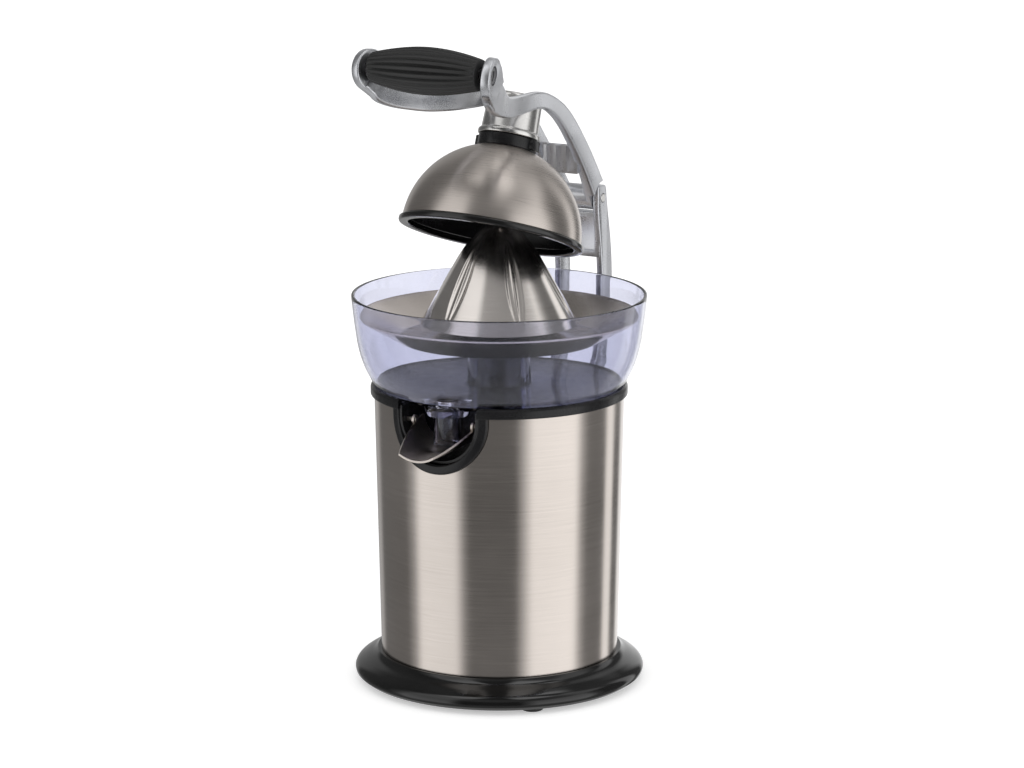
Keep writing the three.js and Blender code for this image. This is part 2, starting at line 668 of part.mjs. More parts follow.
function makeBowl() {
  const wall = new THREE.SplineCurve([
    new THREE.Vector2(78.4, 189.4),
    new THREE.Vector2(83.6, 200),
    new THREE.Vector2(86.9, 211),
    new THREE.Vector2(89.2, 226),
    new THREE.Vector2(BOWL_RIM_RADIUS - 0.1, 241),
  ]);
  const outer = wall.getPoints(4).map((point) => [point.x, point.y]);
  const inner = outer.map(([radius, z]) => [radius - BOWL_WALL, z + 0.6]).reverse();
  inner.pop();
  const profile = [
    [CHIMNEY_RADIUS - 2, BOWL_UNDERSIDE],
    [73.5, BOWL_UNDERSIDE],
    [76.6, 187.4],
    ...outer,
    [BOWL_RIM_RADIUS, 243],
    [BOWL_RIM_RADIUS - 0.8, BOWL_RIM_Z],
    [BOWL_RIM_RADIUS - BOWL_WALL, 243.2],
    ...inner,
    [75, BOWL_FLOOR],
    [CHIMNEY_RADIUS + 2, BOWL_FLOOR],
    [CHIMNEY_RADIUS, CHIMNEY_TOP],
    [CHIMNEY_RADIUS - 2, CHIMNEY_TOP],
  ];
  const outlet = bar(NOZZLE_FLANGE + GAP, 150, 200, 32).translate(0, NOZZLE_Y, 0);
  place(body, "bowl", shaped([turned(profile, 40)], [outlet]), CLEAR());

  // The outlet nozzle is set in the bowl's floor, with a conical shoulder under it.
  const nozzleBore = NOZZLE_RADIUS - NOZZLE_WALL;
  const nozzle = turned(
    [
      [nozzleBore, NOZZLE_BOTTOM],
      [NOZZLE_RADIUS, NOZZLE_BOTTOM],
      [NOZZLE_RADIUS, 179],
      [12, 179],
      [15.4, BOWL_UNDERSIDE - GAP],
      [NOZZLE_FLANGE, BOWL_UNDERSIDE - GAP],
      [NOZZLE_FLANGE, BOWL_FLOOR],
      [nozzleBore, BOWL_FLOOR],
    ],
    24,
  );
  place(body, "bowl_nozzle", nozzle, CLEAR()).position.y = NOZZLE_Y;

  const dish = turned(
    [
      [CHIMNEY_RADIUS + 0.8, 221.6],
      [50, 214.6],
      [62, 215.4],
      [83, 227.4],
      [STRAINER_RADIUS, STRAINER_RIM_Z - 1.4],
      [STRAINER_RADIUS, STRAINER_RIM_Z],
      [82.6, 228.8],
      [61.6, 216.8],
      [50, 215.9],
      [CHIMNEY_RADIUS + 0.8, 223],
    ],
    36,
  );
  const slots = [];
  for (let i = 0; i < STRAINER_SLOTS; i += 1) {
    const slot = block([51.5, -1, 205], [61.5, 1, 225]);
    slots.push(slot.rotateZ(((i + 0.5) * 2 * Math.PI) / STRAINER_SLOTS));
  }
  place(body, "strainer", shaped([dish], slots), BRUSHED());
}

// Height of the rib crest above the cone's skin, at an angle and a height share.
function ribRise(angle, share) {
  const period = (2 * Math.PI) / CONE_RIBS;
  const offset = THREE.MathUtils.euclideanModulo(angle - CONE_PHASE + period / 2, period) - period / 2;
  const crest = Math.exp(-((offset / 0.07) ** 2));
  const flute = Math.exp(-(((Math.abs(offset) - 0.19) / 0.1) ** 2));
  const belly = Math.sin(Math.PI * Math.min(1, share * 1.1));
  return (1.5 * crest - 1.6 * flute) * belly;
}

// The cone's plain radius at a height share from foot (0) to tip (1): a straight skirt, then a nose.
function coneRadius(share) {
  const z = THREE.MathUtils.lerp(CONE_FOOT_Z, CONE_TIP_Z, share);
  if (z > CONE_NOSE_Z) {
    return CONE_NOSE_RADIUS * Math.sqrt((CONE_TIP_Z - z) / (CONE_TIP_Z - CONE_NOSE_Z));
  }
  const fall = (z - CONE_FOOT_Z) / (CONE_NOSE_Z - CONE_FOOT_Z);
  return THREE.MathUtils.lerp(CONE_FOOT_RADIUS, CONE_NOSE_RADIUS, fall);
}

function makeCone() {
  const around = 36;
  const rows = 7;
  const skin = (wall, topZ) => {
    const loops = [];
    for (let row = 0; row < rows; row += 1) {
      const share = 1 - (1 - row / rows) ** 1.25;
      const z = THREE.MathUtils.lerp(CONE_FOOT_Z, topZ, share);
      const loop = [];
      for (let k = 0; k < around; k += 1) {
        const angle = (k * 2 * Math.PI) / around;
        const radius = coneRadius(share) + ribRise(angle, share) - wall;
        const [x, y] = polar(radius, angle);
        loop.push(vector(x, y, z));
      }
      loops.push(loop);
    }
    return loops;
  };
  const outerSkin = skin(0, CONE_TIP_Z);
  const innerSkin = skin(1.4, CONE_TIP_Z - 2.4);
  const positions = [...outerSkin, ...innerSkin].flat().flatMap((p) => [p.x, p.y, p.z]);
  const outerTip = positions.length / 3;
  positions.push(0, 0, CONE_TIP_Z, 0, 0, CONE_TIP_Z - 2.4);
  const index = [];
  const quad = (a, b, c, d) => index.push(a, b, c, a, c, d);
  for (let k = 0; k < around; k += 1) {
    const next = (k + 1) % around;
    for (let row = 0; row < rows - 1; row += 1) {
      const low = row * around;
      quad(low + k, low + next, low + around + next, low + around + k);
      const inLow = (rows + row) * around;
      quad(inLow + next, inLow + k, inLow + around + k, inLow + around + next);
    }
    const top = (rows - 1) * around;
    index.push(top + k, top + next, outerTip);
    const innerTop = (2 * rows - 1) * around;
    index.push(innerTop + next, innerTop + k, outerTip + 1);
    quad(rows * around + k, rows * around + next, next, k);
  }
  const cone = new THREE.BufferGeometry();
  cone.setAttribute("position", new THREE.Float32BufferAttribute(positions, 3));
  cone.setIndex(index);
  place(body, "cone_shell", cone, BRUSHED());

  // Drive hub: a socket on the shaft's head, with a flange that carries the cone.
  const hub = turned(
    [
      [0, 243],
      [0, 246],
      [9, 246],
      [9, 229],
      [42.6, 229],
      [43.6, 226.2],
      [19, 226.2],
      [8.5, 226.2],
      [8.5, 223.5],
      [5.6, 223.5],
      [5.6, 243],
    ],
    24,
  );
  place(body, "cone_hub", hub, SATIN_BLACK());
}

// ---------------------------------------------------------------- column

// The side outline of one upright: it leans forward to the pivot and sweeps in to the sleeve below.
function uprightOutline() {
  const shape = new THREE.Shape();
  shape.moveTo(94.8, 286);
  shape.lineTo(94.8, 295.4);
  shape.quadraticCurveTo(94.8, 297.7, 97.2, 297.7);
  shape.lineTo(103, 297.7);
  shape.quadraticCurveTo(105.6, 297.7, 106, 294);
  shape.bezierCurveTo(108, 276, 114, 262, 114, 236);
  shape.lineTo(114, 196);
  shape.bezierCurveTo(114, 168, 100, 128, 80, 122);
  shape.lineTo(70, 122);
  shape.lineTo(70, 176);
  shape.lineTo(84, 176);
  shape.bezierCurveTo(94, 178, 100.8, 188, 100.8, 204);
  shape.lineTo(100.8, 236);
  shape.bezierCurveTo(100.4, 258, 95.4, 270, 94.8, 286);
  return shape;
}

function makeColumn() {
  const inner = COLUMN_HALF - COLUMN_CHEEK;
  const cheeks = [
    alongXFrom(uprightOutline(), -COLUMN_HALF, -inner, 7),
    alongXFrom(uprightOutline(), inner, COLUMN_HALF, 7),
  ];
  const web = block([-COLUMN_HALF + 1, 98.3, 251.5], [COLUMN_HALF - 1, 106, 280]);
  const footPlate = block([-COLUMN_HALF + 1, 70, 122], [COLUMN_HALF - 1, 84, 176]);
  const frustum = turned(
    [
      [0, 110],
      [sleeveRadius(110) + GAP, 110],
      [sleeveRadius(190) + GAP, 190],
      [0, 190],
    ],
    72,
  );
  const pinHole = alongX(bar(PIN_RADIUS + GAP, -30, 30, 20)).translate(0, PIVOT_Y, PIVOT_Z);
  const screwHoles = COLUMN_SCREW_Z.map((z) => alongY(bar(2.4, 60, 89, 12)).translate(0, 0, z));
  const recess = block([-9.5, 90, 255.5], [9.5, 101.5, 276]);
  const column = shaped([...cheeks, web, footPlate], [frustum, pinHole, recess, ...screwHoles]);
  place(body, "column", column, CAST());

  COLUMN_SCREW_Z.forEach((z, i) => {
    const bolt = place(body, `column_screw_${i + 1}`, screw(2, 11, 4.2, 2.6, 10), STEEL());
    bolt.rotation.x = Math.PI / 2;
    bolt.position.set(0, sleeveRadius(z) - SLEEVE_WALL - GAP * 2, z);
  });
  const pin = alongX(bar(PIN_RADIUS, -COLUMN_HALF - 0.4, COLUMN_HALF + 0.4, 20));
  place(body, "pivot_pin", pin.translate(0, PIVOT_Y, PIVOT_Z), STEEL());
}

// ---------------------------------------------------------------- lever

// Stations of one lever arm from its ear to the pivot, lever pressed:
// outer face X, Y, Z of the middle line, then half height and thickness.
const ARM_STATIONS = [
  [46.2, -111, 316.2, 11.6, 5.2],
  [44.5, -104, 315.7, 13.6, 5.4],
  [41.4, -92, 312, 11.2, 5.5],
  [38.2, -80, 309.6, 8.8, 5.6],
  [34.6, -68, 309.6, 7, 5.8],
  [30.6, -55, 311.4, 6.3, 6],
  [25.8, -38, 316, 6, 5.8],
  [21.8, -20, 322, 5.6, 5.6],
  [19.6, -3, 327.8, 5.3, 5.6],
  [18.8, 10, 330, 5, 5.6],
  [18.2, 25, 328.9, 5.6, 5.6],
  [17.7, 38, 325.6, 6.2, 5.6],
  [17.3, 50, 320.8, 6.5, 5.7],
  [17.3, 61, 315.2, 6.6, 5.9],
  [17.3, 73, 308.4, 6.8, 6.4],
  [17.3, 84, 301.4, 7, 7.2],
  [17.3, 93, 295.2, 7.3, 8.4],
  [17.3, 101, 289.5, 7.6, 9],
];
const ARM_CHAMFER = 1.3;

function armLoft() {
  const line = new THREE.CatmullRomCurve3(ARM_STATIONS.map(([x, y, z]) => vector(x, y, z)));
  const size = new THREE.CatmullRomCurve3(ARM_STATIONS.map((s) => vector(s[3], s[4], s[1])));
  const samples = ARM_STATIONS.length + 3;
  const loops = [];
  for (let i = 0; i <= samples; i += 1) {
    const share = i / samples;
    const centre = line.getPoint(share);
    const along = line.getTangent(share);
    const upward = vector(0, -along.z, along.y).normalize();
    if (upward.z < 0) upward.negate();
    const { x: half, y: thick } = size.getPoint(share);
    const corner = (inward, up) => centre.clone().addScaledVector(upward, up).setX(centre.x - inward);
    const cut = ARM_CHAMFER;
    loops.push([
      corner(0, half - cut),
      corner(cut, half),
      corner(thick - cut, half),
      corner(thick, half - cut),
      corner(thick, -half + cut),
      corner(thick - cut, -half),
      corner(cut, -half),
      corner(0, -half + cut),
    ]);
  }
  return loft(loops);
}

// A disc for the ear, drawn about X and turned to the ear's splay, or a tool of the same attitude.
function atEar(geometry, y, z) {
  const outerX = EAR_X - (y - GRIP_Y) * Math.tan(EAR_SPLAY);
  return geometry.rotateZ(EAR_SPLAY).translate(outerX, y, z);
}

function makeLever() {
  const arm = armLoft();
  const ear = atEar(alongX(bar(EAR_RADIUS, -EAR_THICKNESS, 0, 24)), EAR_Y, EAR_Z);
  const seat = atEar(alongX(bar(5.8, -EAR_SEAT_DEPTH, 5, 14)), GRIP_Y, GRIP_Z);
  const tap = atEar(alongX(bar(2.6, -20, 5, 10)), GRIP_Y, GRIP_Z);
  const oneSide = fromSolid(
    toSolid(arm).add(toSolid(ear)).subtract(toSolid(seat)).subtract(toSolid(tap)),
  );
  const otherSide = fromSolid(toSolid(oneSide.clone()).mirror([1, 0, 0]));
  const hub = turned(
    [
      [0, HUB_BOTTOM],
      [HUB_RADIUS + 1.2, HUB_BOTTOM],
      [HUB_RADIUS + 1.2, HUB_BOTTOM + 3],
      [HUB_RADIUS - 0.4, HUB_BOTTOM + 3.6],
      [HUB_RADIUS - 1.2, HUB_TOP - 2],
      [HUB_RADIUS - 2.6, HUB_TOP],
      [0, HUB_TOP],
    ],
    28,
  );
  const barrel = alongX(bar(BARREL_RADIUS, -BARREL_HALF, BARREL_HALF, 20));
  barrel.translate(0, PIVOT_Y, PIVOT_Z);
  const panel = new THREE.Shape();
  panel.moveTo(62.6, 314.6);
  panel.lineTo(66.2, 315.4);
  panel.lineTo(73.4, 299.4);
  panel.lineTo(69.8, 297.6);
  const ribs = [-7, 0, 7].map((x) => {
    const rib = new THREE.Shape();
    rib.moveTo(60.8, 312.4);
    rib.lineTo(66, 314);
    rib.lineTo(72, 300);
    rib.lineTo(68.2, 299);
    return alongXFrom(rib, x - 1, x + 1);
  });
  const clearanceRing = [-1, 1].map((side) => {
    const low = side > 0 ? BARREL_HALF : -30;
    const high = side > 0 ? 30 : -BARREL_HALF;
    return alongX(bar(10.9, low, high, 24)).translate(0, PIVOT_Y, PIVOT_Z);
  });
  const pinBore = alongX(bar(PIN_RADIUS + GAP, -30, 30, 20)).translate(0, PIVOT_Y, PIVOT_Z);
  const stud = bar(2.6, 290, 320, 10);
  const web = alongXFrom(panel, -13, 13);
  const tools = [...clearanceRing, pinBore, stud];
  const casting = shaped([oneSide, otherSide, hub, barrel, web, ...ribs], tools);
  placeOnLever("lever_arm", casting, CAST());

  ["right", "left"].forEach((side, i) => {
    const bolt = alongX(screw(2.2, 4.6, 5.2, 2.4, 12)).rotateZ(EAR_SPLAY);
    const seated = EAR_X - EAR_SEAT_DEPTH * Math.cos(EAR_SPLAY) + GAP;
    const seatedY = GRIP_Y - EAR_SEAT_DEPTH * Math.sin(EAR_SPLAY) + GAP / 2;
    bolt.translate(seated, seatedY, GRIP_Z);
    const geometry = i === 0 ? bolt : fromSolid(toSolid(bolt).mirror([1, 0, 0]));
    placeOnLever(`ear_screw_${side}`, geometry, STEEL());
  });
}

function makeGrip() {
  const halfSteps = 4;
  const outer = [];
  for (let i = -halfSteps; i <= halfSteps; i += 1) {
    const share = i / halfSteps;
    const belly = Math.cos((share * Math.PI) / 2) ** 0.9;
    const radius = THREE.MathUtils.lerp(GRIP_END_RADIUS, GRIP_RADIUS, belly);
    outer.push([radius, share * (GRIP_HALF - 0.6)]);
  }
  const profile = [
    [4.4, -GRIP_HALF],
    [8.4, -GRIP_HALF],
    ...outer,
    [8.4, GRIP_HALF],
    [4.4, GRIP_HALF],
  ];
  const barrel = turned(profile, 20);
  placeOnLever("grip", alongX(barrel).translate(0, GRIP_Y, GRIP_Z), RUBBER());
  const rod = alongX(bar(4, -GRIP_HALF + 0.2, GRIP_HALF - 0.2, 14));
  placeOnLever("grip_rod", rod.translate(0, GRIP_Y, GRIP_Z), STEEL());
}

function makeDome() {
  const arc = (radius, fromAngle, toAngle, steps) => {
    const points = [];
    for (let i = 0; i <= steps; i += 1) {
      const angle = THREE.MathUtils.lerp(fromAngle, toAngle, i / steps);
      points.push([radius * Math.cos(angle), DOME_RIM_Z + radius * Math.sin(angle)]);
    }
    return points;
  };
  const low = 0.04;
  const shellTop = Math.acos(DOME_TOP_HOLE / DOME_RADIUS);
  const insideRadius = DOME_RADIUS - DOME_WALL;
  const shell = turned(
    [...arc(DOME_RADIUS, low, shellTop, 7), ...arc(insideRadius, shellTop, low, 7)],
    32,
  );
  placeOnLever("dome_shell", shell, BRUSHED());
  const linerOuter = insideRadius - 2 * GAP;
  const linerTop = Math.acos(DOME_TOP_HOLE / linerOuter);
  const liner = turned(
    [...arc(linerOuter, low, linerTop, 6), ...arc(linerOuter - 1.6, linerTop, low, 6)],
    24,
  );
  placeOnLever("dome_liner", liner, SATIN_BLACK());
  const bead = turned(
    [
      [51.4, 241.4],
      [56.6, 241.4],
      [57.3, 242.4],
      [57.3, 244.6],
      [56, 245.2],
      [56, DOME_RIM_Z + low * DOME_RADIUS - GAP],
      [51.4, DOME_RIM_Z + low * DOME_RADIUS - GAP],
    ],
    36,
  );
  placeOnLever("dome_bead", bead, SATIN_BLACK());

  const collarLow = DOME_RIM_Z + Math.sqrt(DOME_RADIUS ** 2 - DOME_TOP_HOLE ** 2) + GAP;
  const collarRing = turned(
    [
      [3, collarLow],
      [10, collarLow],
      [COLLAR_RADIUS, 296.4],
      [COLLAR_RADIUS, HUB_BOTTOM - GAP],
      [3, HUB_BOTTOM - GAP],
    ],
    28,
  );
  const tabs = [-1, 1].map((side) => {
    const nearX = side * (COLLAR_RADIUS - 1.5);
    const farX = side * (COLLAR_RADIUS + 2.2);
    return block([Math.min(nearX, farX), -4.5, 297], [Math.max(nearX, farX), 4.5, HUB_BOTTOM - 0.6]);
  });
  placeOnLever("dome_collar", shaped([collarRing, ...tabs]), SATIN_BLACK());
  const bolt = screw(2.2, 20, 5, 2.4, 12).rotateX(Math.PI);
  placeOnLever("dome_screw", bolt.translate(0, 0, DOME_RIM_Z + linerOuter - 1.6 - 0.1), STEEL());
}

makeBase();
makeShell();
makeSpout();
makeDrive();
makeBowl();
makeCone();
makeColumn();
makeLever();
makeGrip();
makeDome();

export default juicer;
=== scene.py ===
"""Looks of the lever citrus press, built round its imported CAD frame.

Shapes are drawn in millimetres about the reamer cone's axis, and piece() turns them into metres.
The lever's own pieces are drawn with the lever fully pressed, and LEVER lifts them to rest.
"""
import math

import bmesh
import bpy
from mathutils import Matrix, Vector


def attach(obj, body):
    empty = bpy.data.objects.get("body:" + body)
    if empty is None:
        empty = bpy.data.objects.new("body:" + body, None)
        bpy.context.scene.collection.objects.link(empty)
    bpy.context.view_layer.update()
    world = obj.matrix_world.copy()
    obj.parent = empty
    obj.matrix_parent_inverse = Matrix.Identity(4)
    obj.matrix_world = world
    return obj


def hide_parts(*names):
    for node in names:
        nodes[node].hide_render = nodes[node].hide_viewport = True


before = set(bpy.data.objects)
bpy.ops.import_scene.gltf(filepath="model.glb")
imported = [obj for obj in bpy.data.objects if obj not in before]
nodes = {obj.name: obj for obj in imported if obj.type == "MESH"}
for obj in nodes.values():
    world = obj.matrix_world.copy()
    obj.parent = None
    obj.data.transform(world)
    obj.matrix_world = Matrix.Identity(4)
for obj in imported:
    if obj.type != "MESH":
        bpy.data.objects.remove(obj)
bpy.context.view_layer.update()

# ---------------------------------------------------------------- dimensions, in millimetres

MM = 0.001
AXIS_Y = -7.5  # where the cone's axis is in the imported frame
PIVOT = Vector((0, 101, 289.5))
LEVER_REST = math.radians(-20.5)

BASE_RADIUS, BASE_TOP, FOOT_HEIGHT, FOOT_RING = 90.2, 19.2, 2.2, 78
SLEEVE_BOTTOM, SLEEVE_TOP, SLEEVE_WALL = 19.5, 181, 1
SLEEVE_LOW_RADIUS, SLEEVE_TOP_RADIUS = 73.8, 77.2
CUTOUT_Z, CUTOUT_RADIUS = 178, 33.3
TRIM_INNER, TRIM_OUTER, TRIM_TOP, TRIM_RADIUS = 27.5, 33, 187.5, 79.5
BOWL_RIM_Z, BOWL_RIM_RADIUS, BOWL_WALL, BOWL_FLOOR = 243.5, 91, 2, 187.6
CHIMNEY_TOP, CHIMNEY_RADIUS = 221, 18
TOWER_BORE, TOWER_FOOT_RADIUS, TOWER_TOP_RADIUS = 9.6, 14.5, 13.4
TOWER_FOOT_Z, TOWER_TOP_Z = 131, 216
DECK_RADIUS, DECK_BOTTOM, DECK_TOP = 74.6, 180, 184.5
POCKET_WALL, POCKET_PIN_HOLE = 1.5, 1.9
NOZZLE_Y, NOZZLE_RADIUS, NOZZLE_WALL, NOZZLE_BOTTOM = -62, 8.5, 1.8, 161.5
STRAINER_RIM_Z, STRAINER_RADIUS, STRAINER_SLOTS = 231, 86, 24
SLOT_START, SLOT_END, SLOT_HALF = 51.5, 61.5, 1
CONE_FOOT_Z, CONE_FOOT_RADIUS, CONE_TIP_Z = 225.5, 48.5, 287
CONE_NOSE_Z, CONE_NOSE_RADIUS, CONE_WALL, CONE_RIBS = 262.6, 27.3, 1.4, 6
CONE_PHASE = math.radians(-44)
FLUTE_DEPTH = 1.35
FLUTE_MIDDLE, FLUTE_REACH = 0.46, 0.42  # along the cone, as shares of its height
SPOUT_PIVOT_Y, SPOUT_PIVOT_Z, SPOUT_HALF, SPOUT_THICKNESS = -66, 174.5, 22, 1.2
SPOUT_BACK_Y, SPOUT_TIP_Y, SPOUT_FLOOR_Z, SPOUT_AXIS_Z = -55, -99, 158.6, 178
SPOUT_BACK_SIDE, SPOUT_TIP_SIDE = 84, 34  # degrees up from straight down
HOUSING_BACK = -44
COLUMN_HALF, COLUMN_CHEEK, PIN_RADIUS = 17.3, 4.2, 2.75
COLUMN_SCREW_Z, COLUMN_SCREW_HOLE = (134, 164), 2.4
BARREL_RADIUS, BARREL_HALF = 7.8, 12.8
CHEEK_CLEARANCE = 10.9  # round the pin, where the arms are cut back to pass between the cheeks
PANEL_HALF, LEVER_RIB_X, LEVER_RIB_HALF = 13, (-7, 0, 7), 1
GRIP_Y, GRIP_Z, GRIP_HALF, GRIP_RADIUS, GRIP_END = -107.7, 318.7, 37.2, 14.2, 9.2
GRIP_RIDGES, GRIP_GROOVE_DEPTH = 20, 1.5
EAR_RADIUS, EAR_THICKNESS, EAR_X, EAR_Y, EAR_Z = 12.6, 5.6, 45.5, -103.4, 317.6
EAR_SPLAY = math.radians(14)
EAR_TAIL = (16.4, 12.4)  # how far the ear's outline runs down and back into the arm
EAR_SEAT_DEPTH, EAR_SEAT_RADIUS, STUD_RADIUS = 3, 5.8, 2.6
HUB_RADIUS, HUB_BOTTOM, HUB_TOP = 18, 303.8, 330
DOME_RADIUS, DOME_RIM_Z, DOME_WALL, DOME_TOP_HOLE, LINER_WALL = 55.4, 243.5, 1.2, 6, 1.6
DOME_EDGE = 0.04  # the angle above the rim's level at which the sheet ends
COLLAR_RADIUS, COLLAR_TAB_HALF = 18.2, 4.5
GLAND_Z, GLAND_HOLE = 34, 5.2
GAP = 0.3  # between two pieces that fit together

AXIS = Matrix.Translation((0, AXIS_Y * MM, 0))
LEVER = (
    AXIS
    @ Matrix.Translation(PIVOT * MM)
    @ Matrix.Rotation(LEVER_REST, 4, "X")
    @ Matrix.Translation(-PIVOT * MM)
)

# ---------------------------------------------------------------- mesh helpers

LEAST_CORNER = 0.35  # a turn of the outline, in radians


def mesh_from(vertices, faces):
    """A mesh in work, with its faces turned outwards."""
    bm = bmesh.new()
    made = [bm.verts.new(v) for v in vertices]
    for face in faces:
        bm.faces.new([made[i] for i in face])
    bmesh.ops.remove_doubles(bm, verts=bm.verts, dist=1e-5)
    bmesh.ops.recalc_face_normals(bm, faces=bm.faces)
    return bm


def lathe(profile, segments=128):
    """A solid of revolution about Z from (radius, z) points.
    An outline that doesn't start and end on the axis is closed."""
    vertices, rows = [], []
    for radius, z in profile:
        count = 1 if radius < 1e-6 else segments
        rows.append([len(vertices) + i for i in range(count)])
        for i in range(count):
            angle = 2 * math.pi * i / segments
            vertices.append((radius * math.cos(angle), radius * math.sin(angle), z))
    pairs = list(zip(rows, rows[1:]))
    if len(rows[0]) > 1 or len(rows[-1]) > 1:
        pairs.append((rows[-1], rows[0]))
    faces = []
    for low, high in pairs:
        for i in range(segments):
            j = (i + 1) % segments
            corners = [row[k % len(row)] for row, k in ((low, i), (low, j), (high, j), (high, i))]
            faces.append(list(dict.fromkeys(corners)))
    return mesh_from(vertices, faces)


def skin(loops, capped=False, closed=False):
    """A surface through loops of the same number of points."""
    size = len(loops[0])
    vertices = [point for loop in loops for point in loop]
    faces = []
    for row in range(len(loops) if closed else len(loops) - 1):
        low, high = row * size, (row + 1) % len(loops) * size
        for i in range(size):
            j = (i + 1) % size
            faces.append([low + i, low + j, high + j, high + i])
    if capped:
        faces += [range(size), range(len(vertices) - size, len(vertices))]
    return mesh_from(vertices, faces)


def prism(outline, low, high, axis, bevel=0.0):
    """An outline drawn in the two other axes, run along one axis, with its end edges softened."""
    order = {
        "X": lambda a, b, h: (h, a, b),
        "Y": lambda a, b, h: (a, h, b),
        "Z": lambda a, b, h: (a, b, h),
    }[axis]
    size = len(outline)
    vertices = [order(a, b, h) for h in (low, high) for a, b in outline]
    faces = [list(range(size)), list(range(size, 2 * size))]
    faces += [(i, (i + 1) % size, size + (i + 1) % size, size + i) for i in range(size)]
    bm = mesh_from(vertices, faces)
    if bevel:
        bm.faces.ensure_lookup_table()
        edges = list({e for f in (bm.faces[0], bm.faces[1]) for e in f.edges})
        bmesh.ops.bevel(bm, geom=edges, offset=bevel, segments=3, profile=0.5, affect="EDGES")
    return bm


def block(low, high, bevel=0.0):
    """A box between two corners, with all its edges softened."""
    bm = bmesh.new()
    bmesh.ops.create_cube(bm, size=1)
    size = [b - a for a, b in zip(low, high)]
    middle = [(a + b) / 2 for a, b in zip(low, high)]
    bmesh.ops.transform(
        bm, verts=bm.verts, matrix=Matrix.Translation(middle) @ Matrix.Diagonal((*size, 1))
    )
    if bevel:
        bmesh.ops.bevel(
            bm, geom=list(bm.edges), offset=bevel, segments=2, profile=0.5, affect="EDGES"
        )
    return bm


def bar(radius, low, high, segments=48, chamfer=0.0):
    """A round bar along Z."""
    if not chamfer:
        return lathe([(0, low), (radius, low), (radius, high), (0, high)], segments)
    cut = radius - chamfer
    near, far = low + chamfer, high - chamfer
    profile = [(0, low), (cut, low), (radius, near), (radius, far), (cut, high), (0, high)]
    return lathe(profile, segments)


def moved(bm, *matrices):
    """The mesh after the matrices, the last one given being the first applied."""
    total = Matrix.Identity(4)
    for matrix in matrices:
        total = total @ matrix
    bmesh.ops.transform(bm, verts=bm.verts, matrix=total)
    if total.determinant() < 0:
        bmesh.ops.reverse_faces(bm, faces=bm.faces)
    return bm


def shift(x, y, z):
    return Matrix.Translation((x, y, z))


def turn(degrees, axis):
    return Matrix.Rotation(math.radians(degrees), 4, axis)


def loose_object(bm):
    mesh = bpy.data.meshes.new("work")
    bm.to_mesh(mesh)
    bm.free()
    made = bpy.data.objects.new("work", mesh)
    bpy.context.scene.collection.objects.link(made)
    return made


def combined(first, steps):
    """The first mesh after (operation, mesh) steps: UNION joins and DIFFERENCE cuts."""
    result = first
    for operation, bm in steps:
        base, tool = loose_object(result), loose_object(bm)
        change = base.modifiers.new("step", "BOOLEAN")
        change.operation, change.solver, change.object = operation, "EXACT", tool
        graph = bpy.context.evaluated_depsgraph_get()
        result = bmesh.new()
        result.from_mesh(base.evaluated_get(graph).to_mesh())
        for used in (base, tool):
            mesh = used.data
            bpy.data.objects.remove(used)
            bpy.data.meshes.remove(mesh)
        bmesh.ops.remove_doubles(result, verts=result.verts, dist=1e-4)
    return result


def spline(points, steps):
    """A smooth line through the points, with that many steps to each span."""

    def between(a, b, c, d, t):
        return b + 0.5 * t * (c - a + t * (2 * a - 5 * b + 4 * c - d + t * (3 * (b - c) + d - a)))

    last = len(points) - 1
    line = []
    for i in range(last):
        near = [points[max(i - 1, 0)], points[i], points[i + 1], points[min(i + 2, last)]]
        for k in range(steps):
            line.append(tuple(between(*values, k / steps) for values in zip(*near)))
    return [*line, tuple(points[-1])]


def bezier(a, b, c, d, steps):
    """Points after a on the cubic curve from a to d."""

    def between(p, q, r, s, t):
        u = 1 - t
        return u**3 * p + 3 * u * u * t * q + 3 * u * t * t * r + t**3 * s

    shares = [k / steps for k in range(1, steps + 1)]
    return [tuple(between(*values, t) for values in zip(a, b, c, d)) for t in shares]


def rounded(points, radius, closed=True, steps=4):
    """The outline with each corner sharper than LEAST_CORNER rounded off."""
    size = len(points)
    line = []
    for i, (x, y) in enumerate(points):
        if not closed and i in (0, size - 1):
            line.append((x, y))
            continue
        corner = Vector((x, y))
        back = Vector(points[i - 1]) - corner
        ahead = Vector(points[(i + 1) % size]) - corner
        if min(back.length, ahead.length) < 1e-6 or math.pi - back.angle(ahead) < LEAST_CORNER:
            line.append((x, y))
            continue
        cut = min(radius, 0.45 * back.length, 0.45 * ahead.length)
        start, end = corner + back.normalized() * cut, corner + ahead.normalized() * cut
        for k in range(steps + 1):
            t = k / steps
            point = start * (1 - t) ** 2 + corner * (2 * t * (1 - t)) + end * t * t
            line.append((point.x, point.y))
    return line


def lerp(a, b, t):
    return a + (b - a) * t


def sleeve_radius(z):
    share = (z - SLEEVE_BOTTOM) / (SLEEVE_TOP - SLEEVE_BOTTOM)
    return lerp(SLEEVE_LOW_RADIUS, SLEEVE_TOP_RADIUS, share)


def piece(name, bm, material, body, stands_for, place=AXIS, sharp=38, own_axis=False):
    """Turns a mesh in work into a shown piece that rides on a CAD body in place of CAD nodes.
    A piece keeps its own axis only if its brushing runs round it."""
    bmesh.ops.transform(bm, verts=bm.verts, matrix=Matrix.Diagonal((MM, MM, MM, 1)))
    if place is LEVER and not own_axis:
        bmesh.ops.transform(bm, verts=bm.verts, matrix=LEVER)
        place = Matrix.Identity(4)
    mesh = bpy.data.meshes.new(name)
    bm.to_mesh(mesh)
    bm.free()
    mesh.shade_smooth()
    mesh.set_sharp_from_angle(angle=math.radians(sharp))
    made = bpy.data.objects.new(name, mesh)
    bpy.context.scene.collection.objects.link(made)
    made.matrix_world = place
    mesh.materials.append(material)
    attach(made, body)
    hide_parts(*stands_for)
    return made


# ---------------------------------------------------------------- materials


